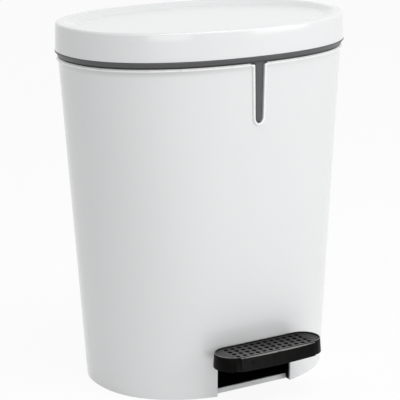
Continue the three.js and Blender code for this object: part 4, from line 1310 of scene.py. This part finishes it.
class BIN_OT_stage(bpy.types.Operator):
    """Lay the pale floor, set the soft lights and place the camera"""

    bl_idname = "bin.stage"
    bl_label = "Set Stage"

    def execute(self, context):
        look = context.scene.bin_stage
        deselect()
        bpy.ops.mesh.primitive_plane_add(size=30, location=(0, 0, 0))
        floor = bpy.context.object
        floor.name = "Floor"
        paper = bpy.data.materials.new("paper floor")
        paper.use_nodes = True
        tree = paper.node_tree
        shader = tree.nodes["Principled BSDF"]
        shader.inputs["Base Color"].default_value = (0.93, 0.93, 0.93, 1)
        shader.inputs["Roughness"].default_value = 0.9
        shader.inputs["Specular IOR Level"].default_value = 0.1
        share = maths(tree, "MULTIPLY", seen_directly(tree), look.floor_white)
        white = place(tree, "ShaderNodeEmission", {"Color": (1, 1, 1, 1), "Strength": 1.0})
        sides = {0: share, 1: shader.outputs["BSDF"], 2: white.outputs["Emission"]}
        mixed = place(tree, "ShaderNodeMixShader", sides)
        tree.links.new(mixed.outputs["Shader"], tree.nodes["Material Output"].inputs["Surface"])
        floor.data.materials.append(paper)

        world = bpy.data.worlds.new("Studio")
        context.scene.world = world
        world.use_nodes = True
        tree = world.node_tree
        tree.nodes.clear()
        strength = ramp(tree, seen_directly(tree), 0, 1, look.world_light, 1.0)
        backdrop = place(tree, "ShaderNodeBackground", {"Color": (1, 1, 1, 1), "Strength": strength})
        place(tree, "ShaderNodeOutputWorld", {"Surface": backdrop.outputs["Background"]})

        self.softbox("Key", (1.4, -1.7, 1.3), (0, MIDDLE, 0.2), (1.3, 1.6), look.key_light)
        self.softbox("Top", (0.1, -0.7, 2.1), (0, MIDDLE, 0.3), (1.6, 1.2), look.top_light)
        self.softbox("Front Fill", (-0.9, -2.3, 0.6), (0, MIDDLE, 0.15), (1.4, 0.7), look.fill_light)
        self.softbox("Low Strip", (1.0, -1.05, 0.42), (0, MIDDLE, 0.42), (0.8, 0.16), look.strip_light)

        eye = bpy.data.cameras.new("Eye")
        camera = bpy.data.objects.new("Eye", eye)
        context.scene.collection.objects.link(camera)
        side, tilt, roll = -look.azimuth, look.elevation, look.roll
        ahead = Vector((sin(side) * cos(tilt), cos(side) * cos(tilt), -sin(tilt)))
        across = Vector((cos(side), -sin(side), 0))
        up = across.cross(ahead)
        right = across * cos(roll) + up * sin(roll)
        upright = up * cos(roll) - across * sin(roll)
        turn = Matrix((right, upright, -ahead)).transposed()
        eye_place = (look.eye_side, MIDDLE + look.eye_back, look.eye_height)
        camera.matrix_world = Matrix.Translation(eye_place) @ turn.to_4x4()
        eye.sensor_width = 36
        eye.lens = look.lens
        eye.shift_x, eye.shift_y = look.shift_x, look.shift_y
        eye.clip_start, eye.clip_end = 0.05, 100
        context.scene.camera = camera
        context.scene.view_settings.view_transform = "Standard"
        return {"FINISHED"}

    def softbox(self, name, spot, target, size, power):
        light = bpy.data.lights.new(name, "AREA")
        light.shape = "RECTANGLE"
        light.size, light.size_y = size
        light.energy = power
        lamp = bpy.data.objects.new(name, light)
        bpy.context.scene.collection.objects.link(lamp)
        lamp.location = spot
        lamp.rotation_euler = (Vector(target) - Vector(spot)).to_track_quat("-Z", "Y").to_euler()


class BIN_PT_panel(bpy.types.Panel):
    """Sizes, colours and steps of the pedal bin"""

    bl_label = "Pedal Bin"
    bl_idname = "BIN_PT_panel"
    bl_space_type = "VIEW_3D"
    bl_region_type = "UI"
    bl_category = "Pedal Bin"

    def draw(self, context):
        for title, (name, kind) in GROUPS.items():
            box = self.layout.box()
            box.label(text=title)
            for label in kind.__annotations__:
                box.prop(getattr(context.scene, name), label)
        for operator in OPERATORS:
            self.layout.operator(operator.bl_idname)


GROUPS = {
    "Shell": ("bin_shell", BinShellSizes),
    "Tongue": ("bin_tongue", BinTongueSizes),
    "Collar": ("bin_collar", BinCollarSizes),
    "Lid": ("bin_lid", BinLidSizes),
    "Pedal": ("bin_pedal", BinPedalSizes),
    "Bucket": ("bin_bucket", BinBucketSizes),
    "Finishes": ("bin_finishes", BinFinishes),
    "Stage": ("bin_stage", BinStage),
}
OPERATORS = (
    BIN_OT_finishes,
    BIN_OT_shell,
    BIN_OT_collar,
    BIN_OT_lid,
    BIN_OT_pedal,
    BIN_OT_bucket,
    BIN_OT_works,
    BIN_OT_stage,
)


def register():
    for name, kind in GROUPS.values():
        bpy.utils.register_class(kind)
        setattr(bpy.types.Scene, name, PointerProperty(type=kind))
    for kind in (*OPERATORS, BIN_PT_panel):
        bpy.utils.register_class(kind)


def unregister():
    for kind in (BIN_PT_panel, *reversed(OPERATORS)):
        bpy.utils.unregister_class(kind)
    for name, kind in reversed(GROUPS.values()):
        delattr(bpy.types.Scene, name)
        bpy.utils.unregister_class(kind)


def main():
    register()
    bpy.ops.bin.finishes()
    bpy.ops.bin.shell()
    bpy.ops.bin.collar()
    bpy.ops.bin.lid()
    bpy.ops.bin.pedal()
    bpy.ops.bin.bucket()
    bpy.ops.bin.works()
    bpy.ops.bin.stage()


if __name__ == "__main__":
    main()
